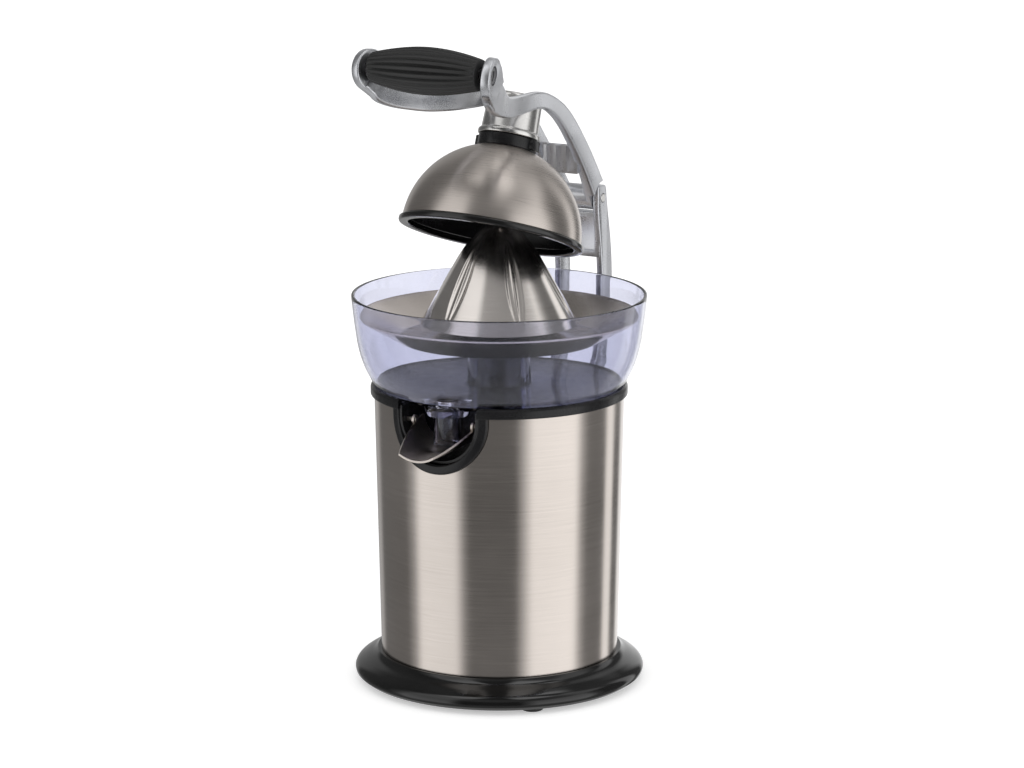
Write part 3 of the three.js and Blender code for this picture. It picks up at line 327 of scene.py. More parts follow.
def node(tree, kind, inputs=None, **settings):
    made = tree.nodes.new("ShaderNode" + kind)
    for key, value in settings.items():
        setattr(made, key, value)
    for key, value in (inputs or {}).items():
        if isinstance(value, bpy.types.NodeSocket):
            tree.links.new(value, made.inputs[key])
        else:
            made.inputs[key].default_value = value
    return made


def ramp(tree, factor, stops):
    made = node(tree, "ValToRGB", {"Fac": factor})
    elements = made.color_ramp.elements
    while len(elements) < len(stops):
        elements.new(0.5)
    for element, (position, colour) in zip(elements, stops):
        element.position = position
        element.color = (*colour, 1) if isinstance(colour, tuple) else (colour, colour, colour, 1)
    return made.outputs["Color"]


def maths(tree, operation, *values):
    return node(tree, "Math", dict(enumerate(values)), operation=operation).outputs[0]


def surface(name, dark, light, rough, grain, bump, patch=60, brushed=0, slot=None, **sockets):
    """A material whose colour, roughness and relief vary with fine grain and large soft patches.
    With brushed set, the grain is drawn out into rings about the piece's own Z axis."""
    material = bpy.data.materials.new(name)
    material["slot"] = slot or name
    material.use_nodes = True
    tree = material.node_tree
    shader = tree.nodes["Principled BSDF"]
    for key, value in sockets.items():
        shader.inputs[key.replace("_", " ")].default_value = value
    place = node(tree, "TexCoord").outputs["Object"]
    grain_place = place
    if brushed:
        x, y, z = node(tree, "SeparateXYZ", {0: place}).outputs
        angle = maths(tree, "ARCTAN2", y, x)
        squares = maths(tree, "MULTIPLY_ADD", y, y, maths(tree, "MULTIPLY", x, x))
        radius = maths(tree, "SQRT", squares)
        across = maths(tree, "MULTIPLY", radius, grain)
        along = maths(tree, "MULTIPLY", z, grain)
        around = maths(tree, "MULTIPLY", angle, brushed)
        grain_place = node(tree, "CombineXYZ", {0: around, 1: across, 2: along}).outputs[0]
    fine = node(
        tree,
        "TexNoise",
        {"Vector": grain_place, "Scale": 1 if brushed else grain, "Detail": 4, "Roughness": 0.6},
    ).outputs["Fac"]
    soft = node(tree, "TexNoise", {"Vector": place, "Scale": patch, "Detail": 3}).outputs["Fac"]
    both = maths(tree, "ADD", fine, soft)
    share = node(tree, "MapRange", {"Value": both, "From Min": 0.7, "From Max": 1.3}).outputs[0]
    tree.links.new(ramp(tree, share, [(0, dark), (1, light)]), shader.inputs["Base Color"])
    roughness = node(
        tree,
        "MapRange",
        {"Value": both, "From Min": 0.75, "From Max": 1.25, "To Min": rough[0], "To Max": rough[1]},
    ).outputs[0]
    tree.links.new(roughness, shader.inputs["Roughness"])
    if bump:
        relief = node(tree, "Bump", {"Strength": bump[0], "Distance": bump[1] * MM, "Height": fine})
        tree.links.new(relief.outputs[0], shader.inputs["Normal"])
    if brushed:
        ring = node(tree, "Tangent", direction_type="RADIAL", axis="Z").outputs[0]
        tree.links.new(ring, shader.inputs["Tangent"])
    return material


BRUSHED = surface(
    "brushed_steel", (0.58, 0.528, 0.487), (0.72, 0.657, 0.61), (0.15, 0.25), 3400, (0.035, 0.01),
    patch=14, brushed=2, Metallic=1, Anisotropic=0.7, Anisotropic_Rotation=0.25,
)
SATIN_STEEL = surface(
    "satin_steel", (0.56, 0.51, 0.47), (0.70, 0.64, 0.595), (0.25, 0.36), 3000, (0.05, 0.01),
    patch=14, brushed=2, slot="brushed_steel",
    Metallic=1, Anisotropic=0.8, Anisotropic_Rotation=0.25,
)
BRIGHT_BRUSHED = surface(
    "bright_brushed", (0.76, 0.71, 0.67), (0.92, 0.87, 0.83), (0.12, 0.20), 3000, (0.03, 0.01),
    patch=14, brushed=2, slot="brushed_steel",
    Metallic=1, Anisotropic=0.7, Anisotropic_Rotation=0.25,
)
CAST = surface(
    "cast_aluminium", (0.64, 0.65, 0.68), (0.84, 0.85, 0.88), (0.24, 0.38), 1700, (0.3, 0.04),
    patch=45, Metallic=1,
)
STEEL = surface(
    "bright_steel", (0.64, 0.63, 0.62), (0.78, 0.77, 0.75), (0.17, 0.28), 1100, (0.06, 0.01),
    patch=80, Metallic=1,
)
GLOSS_BLACK = surface(
    "gloss_black", (0.003, 0.003, 0.003), (0.006, 0.006, 0.006), (0.04, 0.09), 1500, (0.03, 0.01),
    patch=40, Specular_IOR_Level=0.65,
)
SATIN_BLACK = surface(
    "satin_black", (0.006, 0.006, 0.007), (0.014, 0.014, 0.015), (0.20, 0.32), 2600, (0.12, 0.03),
    patch=50, Specular_IOR_Level=0.35,
)
RUBBER = surface(
    "black_rubber", (0.010, 0.010, 0.010), (0.020, 0.020, 0.020), (0.36, 0.5), 2200, (0.2, 0.04),
    patch=40,
)
NYLON = surface("nylon", (0.66, 0.63, 0.54), (0.78, 0.75, 0.66), (0.4, 0.52), 1500, (0.1, 0.02))
BRONZE = surface(
    "bronze", (0.44, 0.24, 0.12), (0.60, 0.34, 0.18), (0.3, 0.44), 1800, (0.2, 0.02), Metallic=1
)
GREY = surface(
    "grey_plastic", (0.09, 0.095, 0.10), (0.13, 0.135, 0.14), (0.42, 0.56), 1600, (0.2, 0.03)
)
IRON = surface(
    "motor_iron", (0.22, 0.22, 0.23), (0.34, 0.34, 0.35), (0.38, 0.55), 1200, (0.3, 0.04),
    Metallic=1,
)
CLEAR = surface(
    "clear_plastic", (0.64, 0.65, 0.77), (0.70, 0.71, 0.82), (0.0, 0.05), 500, None,
    patch=30, Transmission_Weight=1, IOR=1.46,
)

# ---------------------------------------------------------------- base and sleeve


def make_base():
    low = FOOT_HEIGHT + GAP
    shoulder = spline(
        [
            (BASE_RADIUS - 0.3, 5),
            (BASE_RADIUS, 7.5),
            (BASE_RADIUS - 1.8, 10.5),
            (BASE_RADIUS - 6.5, 13.6),
            (BASE_RADIUS - 11.5, 16.4),
            (76, BASE_TOP),
        ],
        8,
    )
    outline = [(66, low), (87, low), *shoulder, (64, BASE_TOP), (64, 9), (66, 9)]
    ring = lathe(rounded(outline, 0.8), 180)
    piece("base_ring_skin", ring, GLOSS_BLACK, "housing", ["base_ring"])
    for i, side in enumerate(("front_right", "rear_right", "rear_left", "front_left")):
        angle = math.pi / 2 * i - math.pi / 4
        foot = lathe([(0, 0), (6, 0), (6.6, 0.3), (7, 0.9), (7, FOOT_HEIGHT), (0, FOOT_HEIGHT)], 48)
        moved(foot, shift(FOOT_RING * math.cos(angle), FOOT_RING * math.sin(angle), 0))
        piece(f"foot_pad_{side}", foot, RUBBER, "housing", [f"foot_{side}"])


def make_sleeve():
    """One sheet, wrapped round the body, with its top edge dipping round the spout's cut-out."""
    inside, outside, row_count = 56, 150, 24
    columns = [("in", math.pi * (k / inside - 0.5)) for k in range(inside)]
    columns += [("out", k / outside) for k in range(outside)]
    rows = [i / row_count for i in range(row_count + 1)]

    def point(column, z, wall):
        kind, value = column
        radius = sleeve_radius(z) - wall
        if kind == "in":
            angle = math.asin(CUTOUT_RADIUS * math.sin(value) / radius)
        else:
            edge = math.asin(CUTOUT_RADIUS / radius)
            angle = lerp(edge, 2 * math.pi - edge, value)
        return (radius * math.sin(angle), -radius * math.cos(angle), z)

    bm = bmesh.new()
    sheets = []
    for wall in (0, SLEEVE_WALL):
        sheet = []
        for column in columns:
            kind, value = column
            top = CUTOUT_Z - CUTOUT_RADIUS * math.cos(value) if kind == "in" else CUTOUT_Z
            heights = [lerp(SLEEVE_BOTTOM, top, row) for row in rows]
            if kind == "out" or abs(value) > math.pi / 2 - 1e-9:
                heights.append(SLEEVE_TOP)
            sheet.append([bm.verts.new(point(column, z, wall)) for z in heights])
        sheets.append(sheet)
    size = len(columns)
    for k in range(size):
        here = [sheet[k] for sheet in sheets]
        ahead = [sheet[(k + 1) % size] for sheet in sheets]
        shared = min(len(here[0]), len(ahead[0]))
        for line, following in zip(here, ahead):
            for i in range(shared - 1):
                bm.faces.new([line[i], following[i], following[i + 1], line[i + 1]])
        for i in (0, shared - 1):
            bm.faces.new([here[0][i], here[1][i], ahead[1][i], ahead[0][i]])
        if len(here[0]) != len(ahead[0]):
            longer = here if len(here[0]) > len(ahead[0]) else ahead
            bm.faces.new([longer[0][-2], longer[0][-1], longer[1][-1], longer[1][-2]])
    bmesh.ops.recalc_face_normals(bm, faces=bm.faces)
    inlet = moved(bar(GLAND_HOLE, 60, 90), shift(0, 0, GLAND_Z), turn(-90, "X"))
    sleeve = combined(bm, [("DIFFERENCE", inlet)])
    piece("sleeve_skin", sleeve, BRUSHED, "housing", ["body_sleeve"])


def make_trim():
    """The moulded ring on the sleeve's top edge, joined to a lip round the cut-out."""
    ring_outline = [
        (75, SLEEVE_TOP + GAP),
        (TRIM_RADIUS, SLEEVE_TOP + GAP),
        (TRIM_RADIUS, TRIM_TOP - 1.5),
        (TRIM_RADIUS - 1.2, TRIM_TOP),
        (77.4, TRIM_TOP),
        (75, TRIM_TOP - 1.6),
    ]
    ring = lathe(rounded(ring_outline, 0.7), 240)
    opening = block((-TRIM_INNER, -100, 175), (TRIM_INNER, -40, 195))
    corners = [(TRIM_INNER, -1.8), (TRIM_OUTER, -1.8), (TRIM_OUTER, 1.9), (TRIM_INNER, 1.9)]
    section = rounded(corners, 1.1)
    stations = [(-1, z, 0) for z in (183, 180.5)]
    stations += [(0, CUTOUT_Z, math.pi * (k / 72 - 0.5)) for k in range(73)]
    stations += [(1, z, 0) for z in (180.5, 183)]
    loops = []
    for side, centre_z, angle in stations:
        outward = (side, 0) if side else (math.sin(angle), -math.cos(angle))
        loop = []
        for distance, depth in section:
            x = distance * outward[0]
            z = centre_z + distance * outward[1]
            radius = sleeve_radius(z) + depth
            loop.append((x, -math.sqrt(radius**2 - x * x), z))
        loops.append(loop)
    lip = skin(loops, capped=True)
    trim = combined(ring, [("DIFFERENCE", opening), ("UNION", lip)])
    piece("trim_moulding", trim, SATIN_BLACK, "housing", ["top_trim"])


def arch(radius, top, steps=48):
    """A U outline in (X, Z): a half circle below the cut-out's centre, and straight sides above."""
    angles = [math.pi * (k / steps - 0.5) for k in range(steps + 1)]
    line = [(radius * math.sin(a), CUTOUT_Z - radius * math.cos(a)) for a in angles]
    return [*line, (radius, top), (-radius, top)]


def make_deck():
    outline = [
        (TOWER_BORE, TOWER_FOOT_Z),
        (TOWER_FOOT_RADIUS, TOWER_FOOT_Z),
        (TOWER_FOOT_RADIUS, DECK_BOTTOM),
        (DECK_RADIUS, DECK_BOTTOM),
        (DECK_RADIUS, DECK_TOP),
        (TOWER_FOOT_RADIUS - 0.5, DECK_TOP),
        (TOWER_TOP_RADIUS, TOWER_TOP_Z),
        (TOWER_BORE, TOWER_TOP_Z),
    ]
    mouth = prism(arch(TRIM_INNER, 195), -100, HOUSING_BACK + GAP, "Y")
    deck = combined(lathe(rounded(outline, 0.6), 144), [("DIFFERENCE", mouth)])
    piece("deck_plate", deck, SATIN_BLACK, "housing", ["deck"])

    outer = TRIM_INNER - GAP
    shell = prism(arch(outer, 184), -73, HOUSING_BACK, "Y")
    hollow = prism(arch(outer - POCKET_WALL, 190), -90, HOUSING_BACK - 1.8, "Y")
    holes = bar(POCKET_PIN_HOLE, -40, 40)
    moved(holes, shift(0, SPOUT_PIVOT_Y, SPOUT_PIVOT_Z), turn(90, "Y"))
    pocket = combined(shell, [("DIFFERENCE", hollow), ("DIFFERENCE", holes)])
    piece("spout_pocket", pocket, SATIN_BLACK, "housing", ["spout_housing"])


def make_gland():
    outline = [(2.6, -6), (4.9, -6), (4.9, 1.2), (7.5, 1.2), (7.5, 3.4), (5.6, 7), (2.6, 7)]
    gland = lathe(rounded(outline, 0.6), 64)
    moved(gland, shift(0, sleeve_radius(GLAND_Z), GLAND_Z), turn(-90, "X"))
    piece("cord_inlet", gland, SATIN_BLACK, "housing", ["cord_gland"])


# ---------------------------------------------------------------- spout, bowl, strainer and cone


def make_spout():
    """A half-round trough whose sides fall towards a thin rounded lip."""
    steps, arc_steps = 44, 44
    loops = []
    for i in range(steps + 1):
        along = i / steps
        y = lerp(SPOUT_BACK_Y, SPOUT_TIP_Y, along)
        floor = SPOUT_FLOOR_Z - 2.2 * along + 1.4 * max(0, along - 0.85)
        centre_z = SPOUT_AXIS_Z - 1.2 * along
        radius = centre_z - floor
        side = math.radians(lerp(SPOUT_BACK_SIDE, SPOUT_TIP_SIDE, along**1.25))
        spread = SPOUT_HALF / radius
        loop = []
        for wall, start in ((0, -side), (SPOUT_THICKNESS, side)):
            for k in range(arc_steps + 1):
                angle = lerp(start, -start, k / arc_steps)
                x = (radius * spread - wall) * math.sin(angle)
                loop.append((x, y, centre_z - (radius - wall) * math.cos(angle)))
        loops.append(loop)
    joined = []
    pin_and_boss = (
        (1.5, SPOUT_HALF - 2.6, SPOUT_HALF + 4.2),
        (3, SPOUT_HALF - 2.2, SPOUT_HALF - 0.4),
    )
    for side in (-1, 1):
        for radius, near, far in pin_and_boss:
            stub = bar(radius, near, far, 40, 0.2)
            moved(stub, shift(0, SPOUT_PIVOT_Y, SPOUT_PIVOT_Z), turn(90 * side, "Y"))
            joined.append(("UNION", stub))
    scoop = combined(skin(loops, capped=True), joined)
    piece("scoop_trough", scoop, SATIN_STEEL, "spout", ["spout_scoop"])


def make_bowl():
    outer = spline(
        [(78.4, 189.4), (83.6, 200), (86.9, 211), (89.2, 226), (BOWL_RIM_RADIUS - 0.1, 241)], 8
    )
    inner = [(radius - BOWL_WALL, z + 0.6) for radius, z in reversed(outer)][:-8]
    outline = [
        (16, 185),
        (73.5, 185),
        (76.6, 187.4),
        *outer,
        (BOWL_RIM_RADIUS, 243),
        (BOWL_RIM_RADIUS - 0.8, BOWL_RIM_Z),
        (BOWL_RIM_RADIUS - BOWL_WALL, 243.2),
        *inner,
        (78, 191.6),
        (75, BOWL_FLOOR),
        (CHIMNEY_RADIUS + 2, BOWL_FLOOR),
        (CHIMNEY_RADIUS, CHIMNEY_TOP),
        (CHIMNEY_RADIUS - 2, CHIMNEY_TOP),
    ]
    shell = lathe(rounded(outline, 0.8), 180)
    boss = moved(lathe([(0, 179), (12, 179), (16, 186), (0, 186)], 64), shift(0, NOZZLE_Y, 0))
    nozzle = moved(bar(NOZZLE_RADIUS, NOZZLE_BOTTOM, 186, 64, 0.4), shift(0, NOZZLE_Y, 0))
    bore = moved(bar(NOZZLE_RADIUS - NOZZLE_WALL, 150, 200, 64), shift(0, NOZZLE_Y, 0))
    bowl = combined(shell, [("UNION", boss), ("UNION", nozzle), ("DIFFERENCE", bore)])
    piece("clear_bowl", bowl, CLEAR, "housing", ["bowl", "bowl_nozzle"])


def make_strainer():
    outline = [
        (CHIMNEY_RADIUS + 0.8, 221.6),
        (50, 214.6),
        (62, 215.4),
        (83, 227.4),
        (STRAINER_RADIUS, STRAINER_RIM_Z - 1.4),
        (STRAINER_RADIUS, STRAINER_RIM_Z),
        (82.6, 228.8),
        (61.6, 216.8),
        (50, 215.9),
        (CHIMNEY_RADIUS + 0.8, 223),
    ]
    dish = lathe(rounded(outline, 1.2), 180)
    cutters = bmesh.new()
    corners = [
        (SLOT_START, -SLOT_HALF),
        (SLOT_END, -SLOT_HALF),
        (SLOT_END, SLOT_HALF),
        (SLOT_START, SLOT_HALF),
    ]
    slot = rounded(corners, 0.9)
    for i in range(STRAINER_SLOTS):
        cutter = moved(prism(slot, 205, 225, "Z"), turn(360 * (i + 0.5) / STRAINER_SLOTS, "Z"))
        mesh = bpy.data.meshes.new("work")
        cutter.to_mesh(mesh)
        cutter.free()
        cutters.from_mesh(mesh)
        bpy.data.meshes.remove(mesh)
    strainer = combined(dish, [("DIFFERENCE", cutters)])
    piece("strainer_dish", strainer, BRUSHED, "housing", ["strainer"])


def cone_radius(z):
    """A straight skirt, then a rounded nose."""
    if z > CONE_NOSE_Z:
        return CONE_NOSE_RADIUS * math.sqrt(max(0, (CONE_TIP_Z - z) / (CONE_TIP_Z - CONE_NOSE_Z)))
    fall = (z - CONE_FOOT_Z) / (CONE_NOSE_Z - CONE_FOOT_Z)
    return lerp(CONE_FOOT_RADIUS, CONE_NOSE_RADIUS, fall)


def flute_depth(angle, share):
    """Pairs of pointed flutes, one on each side of a sharp crest."""
    period = 2 * math.pi / CONE_RIBS
    offset = abs((angle - CONE_PHASE + period / 2) % period - period / 2)
    lens = max(0, 1 - ((share - FLUTE_MIDDLE) / FLUTE_REACH) ** 2)
    if lens <= 0:
        return 0
    half = (0.055 + 0.05 * share) * lens**0.7
    across = (offset - half) / half
    return FLUTE_DEPTH * lens * max(0, 1 - across**2)


def make_cone():
    """A pressed shell: its inner side follows the flutes less deeply."""
    around, rows = 420, 44
    sheets = []
    for wall, top, follow in ((0, CONE_TIP_Z, 1), (CONE_WALL, CONE_TIP_Z - 2.4, 0.6)):
        loops = []
        for row in range(rows + 1):
            share = math.sin(row / rows * math.pi / 2)
            z = lerp(CONE_FOOT_Z, top, share)
            plain = cone_radius(lerp(CONE_FOOT_Z, CONE_TIP_Z, share))
            loop = []
            for k in range(around):
                angle = 2 * math.pi * k / around
                radius = max(0, plain - flute_depth(angle, share) * follow - wall)
                if row == rows:
                    radius = 0
                loop.append((radius * math.cos(angle), radius * math.sin(angle), z))
            loops.append(loop)
        sheets.append(loops)
    cone = skin([*reversed(sheets[1]), *sheets[0]])
    piece("reamer_cone", cone, BRIGHT_BRUSHED, "cone_drive", ["cone_shell"], sharp=60)


# ---------------------------------------------------------------- column


def make_column():
    outline = [(94.8, 286), (94.8, 295.4)]
    outline += bezier((94.8, 295.4), (94.8, 296.9), (95.6, 297.7), (97.2, 297.7), 5)
    outline += [(103, 297.7)]
    outline += bezier((103, 297.7), (104.7, 297.7), (105.7, 296.5), (106, 294), 5)
    outline += bezier((106, 294), (108, 276), (114, 262), (114, 236), 20)
    outline += [(114, 196)]
    outline += bezier((114, 196), (114, 168), (100, 128), (80, 122), 24)
    outline += [(70, 122), (70, 176), (84, 176)]
    outline += bezier((84, 176), (94, 178), (100.8, 188), (100.8, 204), 16)
    outline += [(100.8, 236)]
    outline += bezier((100.8, 236), (100.4, 258), (95.4, 270), (94.8, 286), 16)[:-1]
    inner = COLUMN_HALF - COLUMN_CHEEK
    right = prism(outline, inner, COLUMN_HALF, "X", bevel=0.9)
    left = prism(outline, -COLUMN_HALF, -inner, "X", bevel=0.9)
    recess = block((-12.8, 90, 254.5), (12.8, 105.8, 277), 0.8)
    web = block((-COLUMN_HALF + 1, 98.3, 251.5), (COLUMN_HALF - 1, 108, 280), 0.5)
    # The recess is cut before the web joins the cheeks: cut afterwards, it spoils the pin's hole.
    web = combined(web, [("DIFFERENCE", recess)])
    plate = block((-COLUMN_HALF + 1, 70, 122.9), (COLUMN_HALF - 1, 84, 175.1))
    body = lathe(
        [
            (0, 100),
            (sleeve_radius(100) + GAP, 100),
            (sleeve_radius(200) + GAP, 200),
            (0, 200),
        ],
        240,
    )
    pin_hole = moved(bar(PIN_RADIUS + GAP, -30, 30), Matrix.Translation(PIVOT), turn(90, "Y"))
    steps = [("UNION", left), ("UNION", web), ("UNION", plate)]
    steps += [("DIFFERENCE", body), ("DIFFERENCE", pin_hole)]
    for z in COLUMN_SCREW_Z:
        hole = moved(bar(COLUMN_SCREW_HOLE, 60, 89), shift(0, 0, z), turn(-90, "X"))
        steps.append(("DIFFERENCE", hole))
    piece("column_casting", combined(right, steps), CAST, "housing", ["column"])

    pin = moved(
        bar(PIN_RADIUS, -COLUMN_HALF - 0.4, COLUMN_HALF + 0.4, 48, 0.35),
        Matrix.Translation(PIVOT),
        turn(90, "Y"),
    )
    piece("hinge_pin", pin, STEEL, "housing", ["pivot_pin"])


# ---------------------------------------------------------------- lever

# Stations of one arm from its ear to the pivot:
# X of the outer face, Y and Z of the middle line, half the height, thickness.
ARM_STATIONS = [
    (45.6, -108.5, 317.8, 9.4, 5.2),
    (44.5, -104, 317.2, 11.8, 5.4),
    (42.8, -97, 313.4, 10.8, 5.4),
    (41.4, -92, 310.6, 10, 5.5),
    (38.2, -80, 309.6, 8.8, 5.6),
    (34.6, -68, 309.6, 7, 5.8),
    (30.6, -55, 311.4, 6.3, 6),
    (25.8, -38, 316, 6, 5.8),
    (21.8, -20, 322, 5.6, 5.6),
    (19.6, -3, 327.8, 5.3, 5.6),
    (18.8, 10, 330, 5, 5.6),
    (18.2, 25, 328.9, 5.6, 5.6),
    (17.7, 38, 325.6, 6.2, 5.6),
    (17.3, 50, 320.8, 6.5, 5.7),
    (17.3, 61, 315.2, 6.6, 5.9),
    (17.3, 73, 308.4, 6.8, 6.4),
    (17.3, 84, 301.4, 7, 7.2),
    (17.3, 93, 295.2, 7.3, 8.4),
    (17.3, 101, 289.5, 7.6, 9),
]


def arm():
    line = spline(ARM_STATIONS, 6)
    loops = []
    for i, (x, y, z, half, thick) in enumerate(line):
        ahead, behind = line[min(i + 1, len(line) - 1)], line[max(i - 1, 0)]
        dy, dz = ahead[1] - behind[1], ahead[2] - behind[2]
        length = math.hypot(dy, dz)
        up_y, up_z = -dz / length, dy / length
        corners = [(0, -half), (0, half), (thick, half), (thick, -half)]
        loops.append(
            [(x - inward, y + up * up_y, z + up * up_z) for inward, up in rounded(corners, 1.9)]
        )
    return skin(loops, capped=True)


def at_ear(bm, y, z):
    """Turns a piece drawn along Z to lie along the right ear's splayed axis."""
    outer = EAR_X - (y - GRIP_Y) * math.tan(EAR_SPLAY)
    return moved(bm, shift(outer, y, z), Matrix.Rotation(EAR_SPLAY, 4, "Z"), turn(90, "Y"))


def teardrop(radius, tail_x, tail_y, steps=72):
    """The outline of a circle drawn out to a point."""
    towards = math.atan2(tail_y, tail_x)
    open_by = math.acos(radius / math.hypot(tail_x, tail_y))
    line = []
    for k in range(steps + 1):
        angle = towards + open_by + 2 * (math.pi - open_by) * k / steps
        line.append((radius * math.cos(angle), radius * math.sin(angle)))
    return [*line, (tail_x, tail_y)]


def one_side():
    """The right arm with its ear, drilled for the grip's screw."""
    paddle = teardrop(EAR_RADIUS, *EAR_TAIL)
    ear = at_ear(prism(paddle, -EAR_THICKNESS, 0, "Z", 1.0), EAR_Y, EAR_Z)
    seat = at_ear(bar(EAR_SEAT_RADIUS, -EAR_SEAT_DEPTH, 5, 64), GRIP_Y, GRIP_Z)
    tap = at_ear(bar(STUD_RADIUS, -20, 5, 32), GRIP_Y, GRIP_Z)
    return combined(arm(), [("UNION", ear), ("DIFFERENCE", seat), ("DIFFERENCE", tap)])


def make_lever():
    right = one_side()
    left = moved(one_side(), Matrix.Scale(-1, 4, (1, 0, 0)))
    barrel = bar(BARREL_RADIUS, -BARREL_HALF, BARREL_HALF, 72)
    moved(barrel, Matrix.Translation(PIVOT), turn(90, "Y"))
    panel_outline = [(62.6, 314.6), (66.2, 315.4), (73.4, 299.4), (69.8, 297.6)]
    panel = prism(panel_outline, -PANEL_HALF, PANEL_HALF, "X")
    # The ribs' corners stay off the panel's faces, where the union would lose volume.
    rib_outline = [(58.2, 312.6), (64.6, 314), (71.2, 299.8), (65.2, 297.2)]
    ribs = []
    for x in LEVER_RIB_X:
        rib = prism(rib_outline, x - LEVER_RIB_HALF, x + LEVER_RIB_HALF, "X")
        ribs.append(("UNION", rib))
    steps = [("UNION", left), ("UNION", barrel), ("UNION", combined(panel, ribs))]
    for side in (-1, 1):
        disc = bar(CHEEK_CLEARANCE, BARREL_HALF, 30, 72)
        steps.append(("DIFFERENCE", moved(disc, Matrix.Translation(PIVOT), turn(90 * side, "Y"))))
    bore = moved(bar(PIN_RADIUS + GAP, -30, 30), Matrix.Translation(PIVOT), turn(90, "Y"))
    steps.append(("DIFFERENCE", bore))
    piece("lever_casting", combined(right, steps), CAST, "lever", ["lever_arm"], LEVER, sharp=32)

    outline = [
        (0, HUB_BOTTOM),
        (HUB_RADIUS + 1.2, HUB_BOTTOM),
        (HUB_RADIUS + 1.2, HUB_BOTTOM + 3),
        (HUB_RADIUS - 0.4, HUB_BOTTOM + 3.6),
        (HUB_RADIUS - 1.2, HUB_TOP - 2),
        (HUB_RADIUS - 2.6, HUB_TOP),
        (0, HUB_TOP),
    ]
    stud = bar(STUD_RADIUS, 290, 320)
    hub = combined(lathe(rounded(outline, 1.0, closed=False), 128), [("DIFFERENCE", stud)])
    piece("hub_barrel", hub, STEEL, "lever", ["lever_arm"], LEVER, own_axis=True)

    bolt_outline = [(0, -4.6), (2.2, -4.6), (2.2, 0), (5.2, 0), (5.2, 2.4), (2.9, 2.4), (2.9, 1)]
    bolt_outline.append((0, 0.6))
    seated = shift(
        EAR_X - EAR_SEAT_DEPTH * math.cos(EAR_SPLAY) + GAP,
        GRIP_Y - EAR_SEAT_DEPTH * math.sin(EAR_SPLAY) + GAP / 2,
        GRIP_Z,
    )
    for name, mirror in (("right", 1), ("left", -1)):
        head = lathe(rounded(bolt_outline, 0.5, closed=False), 64)
        socket = lathe([(0, 0.9), (2.5, 0.9), (2.5, 3), (0, 3)], 6)
        bolt = combined(head, [("DIFFERENCE", socket)])
        flip = Matrix.Scale(mirror, 4, (1, 0, 0))
        moved(bolt, flip, seated, Matrix.Rotation(EAR_SPLAY, 4, "Z"), turn(90, "Y"))
        piece(f"ear_bolt_{name}", bolt, IRON, "lever", [f"ear_screw_{name}"], LEVER)


def make_grip():
    """A barrel with rounded ridges that fade out towards its ends."""
    around, rows = 240, 72
    loops = []
    for i in range(rows + 1):
        share = -1 + 2 * i / rows
        plain = GRIP_END + (GRIP_RADIUS - GRIP_END) * max(0, math.cos(share * math.pi / 2)) ** 0.9
        fade = max(0, 1 - abs(share) ** 6) ** 0.5
        loop = []
        for k in range(around):
            angle = 2 * math.pi * k / around
            groove = (0.5 + 0.5 * math.cos(GRIP_RIDGES * angle)) ** 2.5
            radius = plain - GRIP_GROOVE_DEPTH * fade * groove * plain / GRIP_RADIUS
            x = share * (GRIP_HALF - 0.6)
            loop.append((x, radius * math.cos(angle), radius * math.sin(angle)))
        loops.append(loop)

    def ring(x, radius):
        angles = [2 * math.pi * k / around for k in range(around)]
        return [(x, radius * math.cos(a), radius * math.sin(a)) for a in angles]

    bore, rim = 4.4, 8.3
    loops = [
        ring(-GRIP_HALF, bore),
        ring(-GRIP_HALF, rim),
        *loops,
        ring(GRIP_HALF, rim),
        ring(GRIP_HALF, bore),
    ]
    grip = moved(skin(loops, closed=True), shift(0, GRIP_Y, GRIP_Z))
    piece("grip_barrel", grip, RUBBER, "lever", ["grip"], LEVER, sharp=50)


def dome_arc(radius, start, end, steps):
    angles = [lerp(start, end, i / steps) for i in range(steps + 1)]
    return [(radius * math.cos(a), DOME_RIM_Z + radius * math.sin(a)) for a in angles]


def dome_shell(radius, wall, steps, segments):
    """A hollow half ball, open at its rim and with a hole in its top."""
    top = math.acos(DOME_TOP_HOLE / radius)
    outer = dome_arc(radius, DOME_EDGE, top, steps)
    return lathe([*outer, *dome_arc(radius - wall, top, DOME_EDGE, steps)], segments)


def make_dome():
    shell = dome_shell(DOME_RADIUS, DOME_WALL, 48, 180)
    piece("dome_skin", shell, SATIN_STEEL, "lever", ["dome_shell"], LEVER, own_axis=True)

    liner = dome_shell(DOME_RADIUS - DOME_WALL - 2 * GAP, LINER_WALL, 40, 144)
    piece("dome_lining", liner, SATIN_BLACK, "lever", ["dome_liner"], LEVER)

    seat = DOME_RIM_Z + DOME_EDGE * DOME_RADIUS - GAP
    outline = [(51.4, 241.4), (56.6, 241.4), (57.3, 242.4), (57.3, 244.6), (56, 245.2)]
    bead = lathe(rounded([*outline, (56, seat), (51.4, seat)], 0.8), 180)
    piece("dome_rim_bead", bead, GLOSS_BLACK, "lever", ["dome_bead"], LEVER)

    collar_low = DOME_RIM_Z + math.sqrt(DOME_RADIUS**2 - DOME_TOP_HOLE**2) + GAP
    outline = [
        (3, collar_low),
        (10, collar_low),
        (COLLAR_RADIUS, 296.4),
        (COLLAR_RADIUS, HUB_BOTTOM - GAP),
        (3, HUB_BOTTOM - GAP),
    ]
    steps = []
    for side in (-1, 1):
        near, far = sorted((side * (COLLAR_RADIUS - 1.5), side * (COLLAR_RADIUS + 2.2)))
        low = (near, -COLLAR_TAB_HALF, 297)
        high = (far, COLLAR_TAB_HALF, HUB_BOTTOM - 2 * GAP)
        steps.append(("UNION", block(low, high, 0.5)))
    collar = combined(lathe(rounded(outline, 0.6), 128), steps)
    piece("collar_ring", collar, SATIN_BLACK, "lever", ["dome_collar"], LEVER)


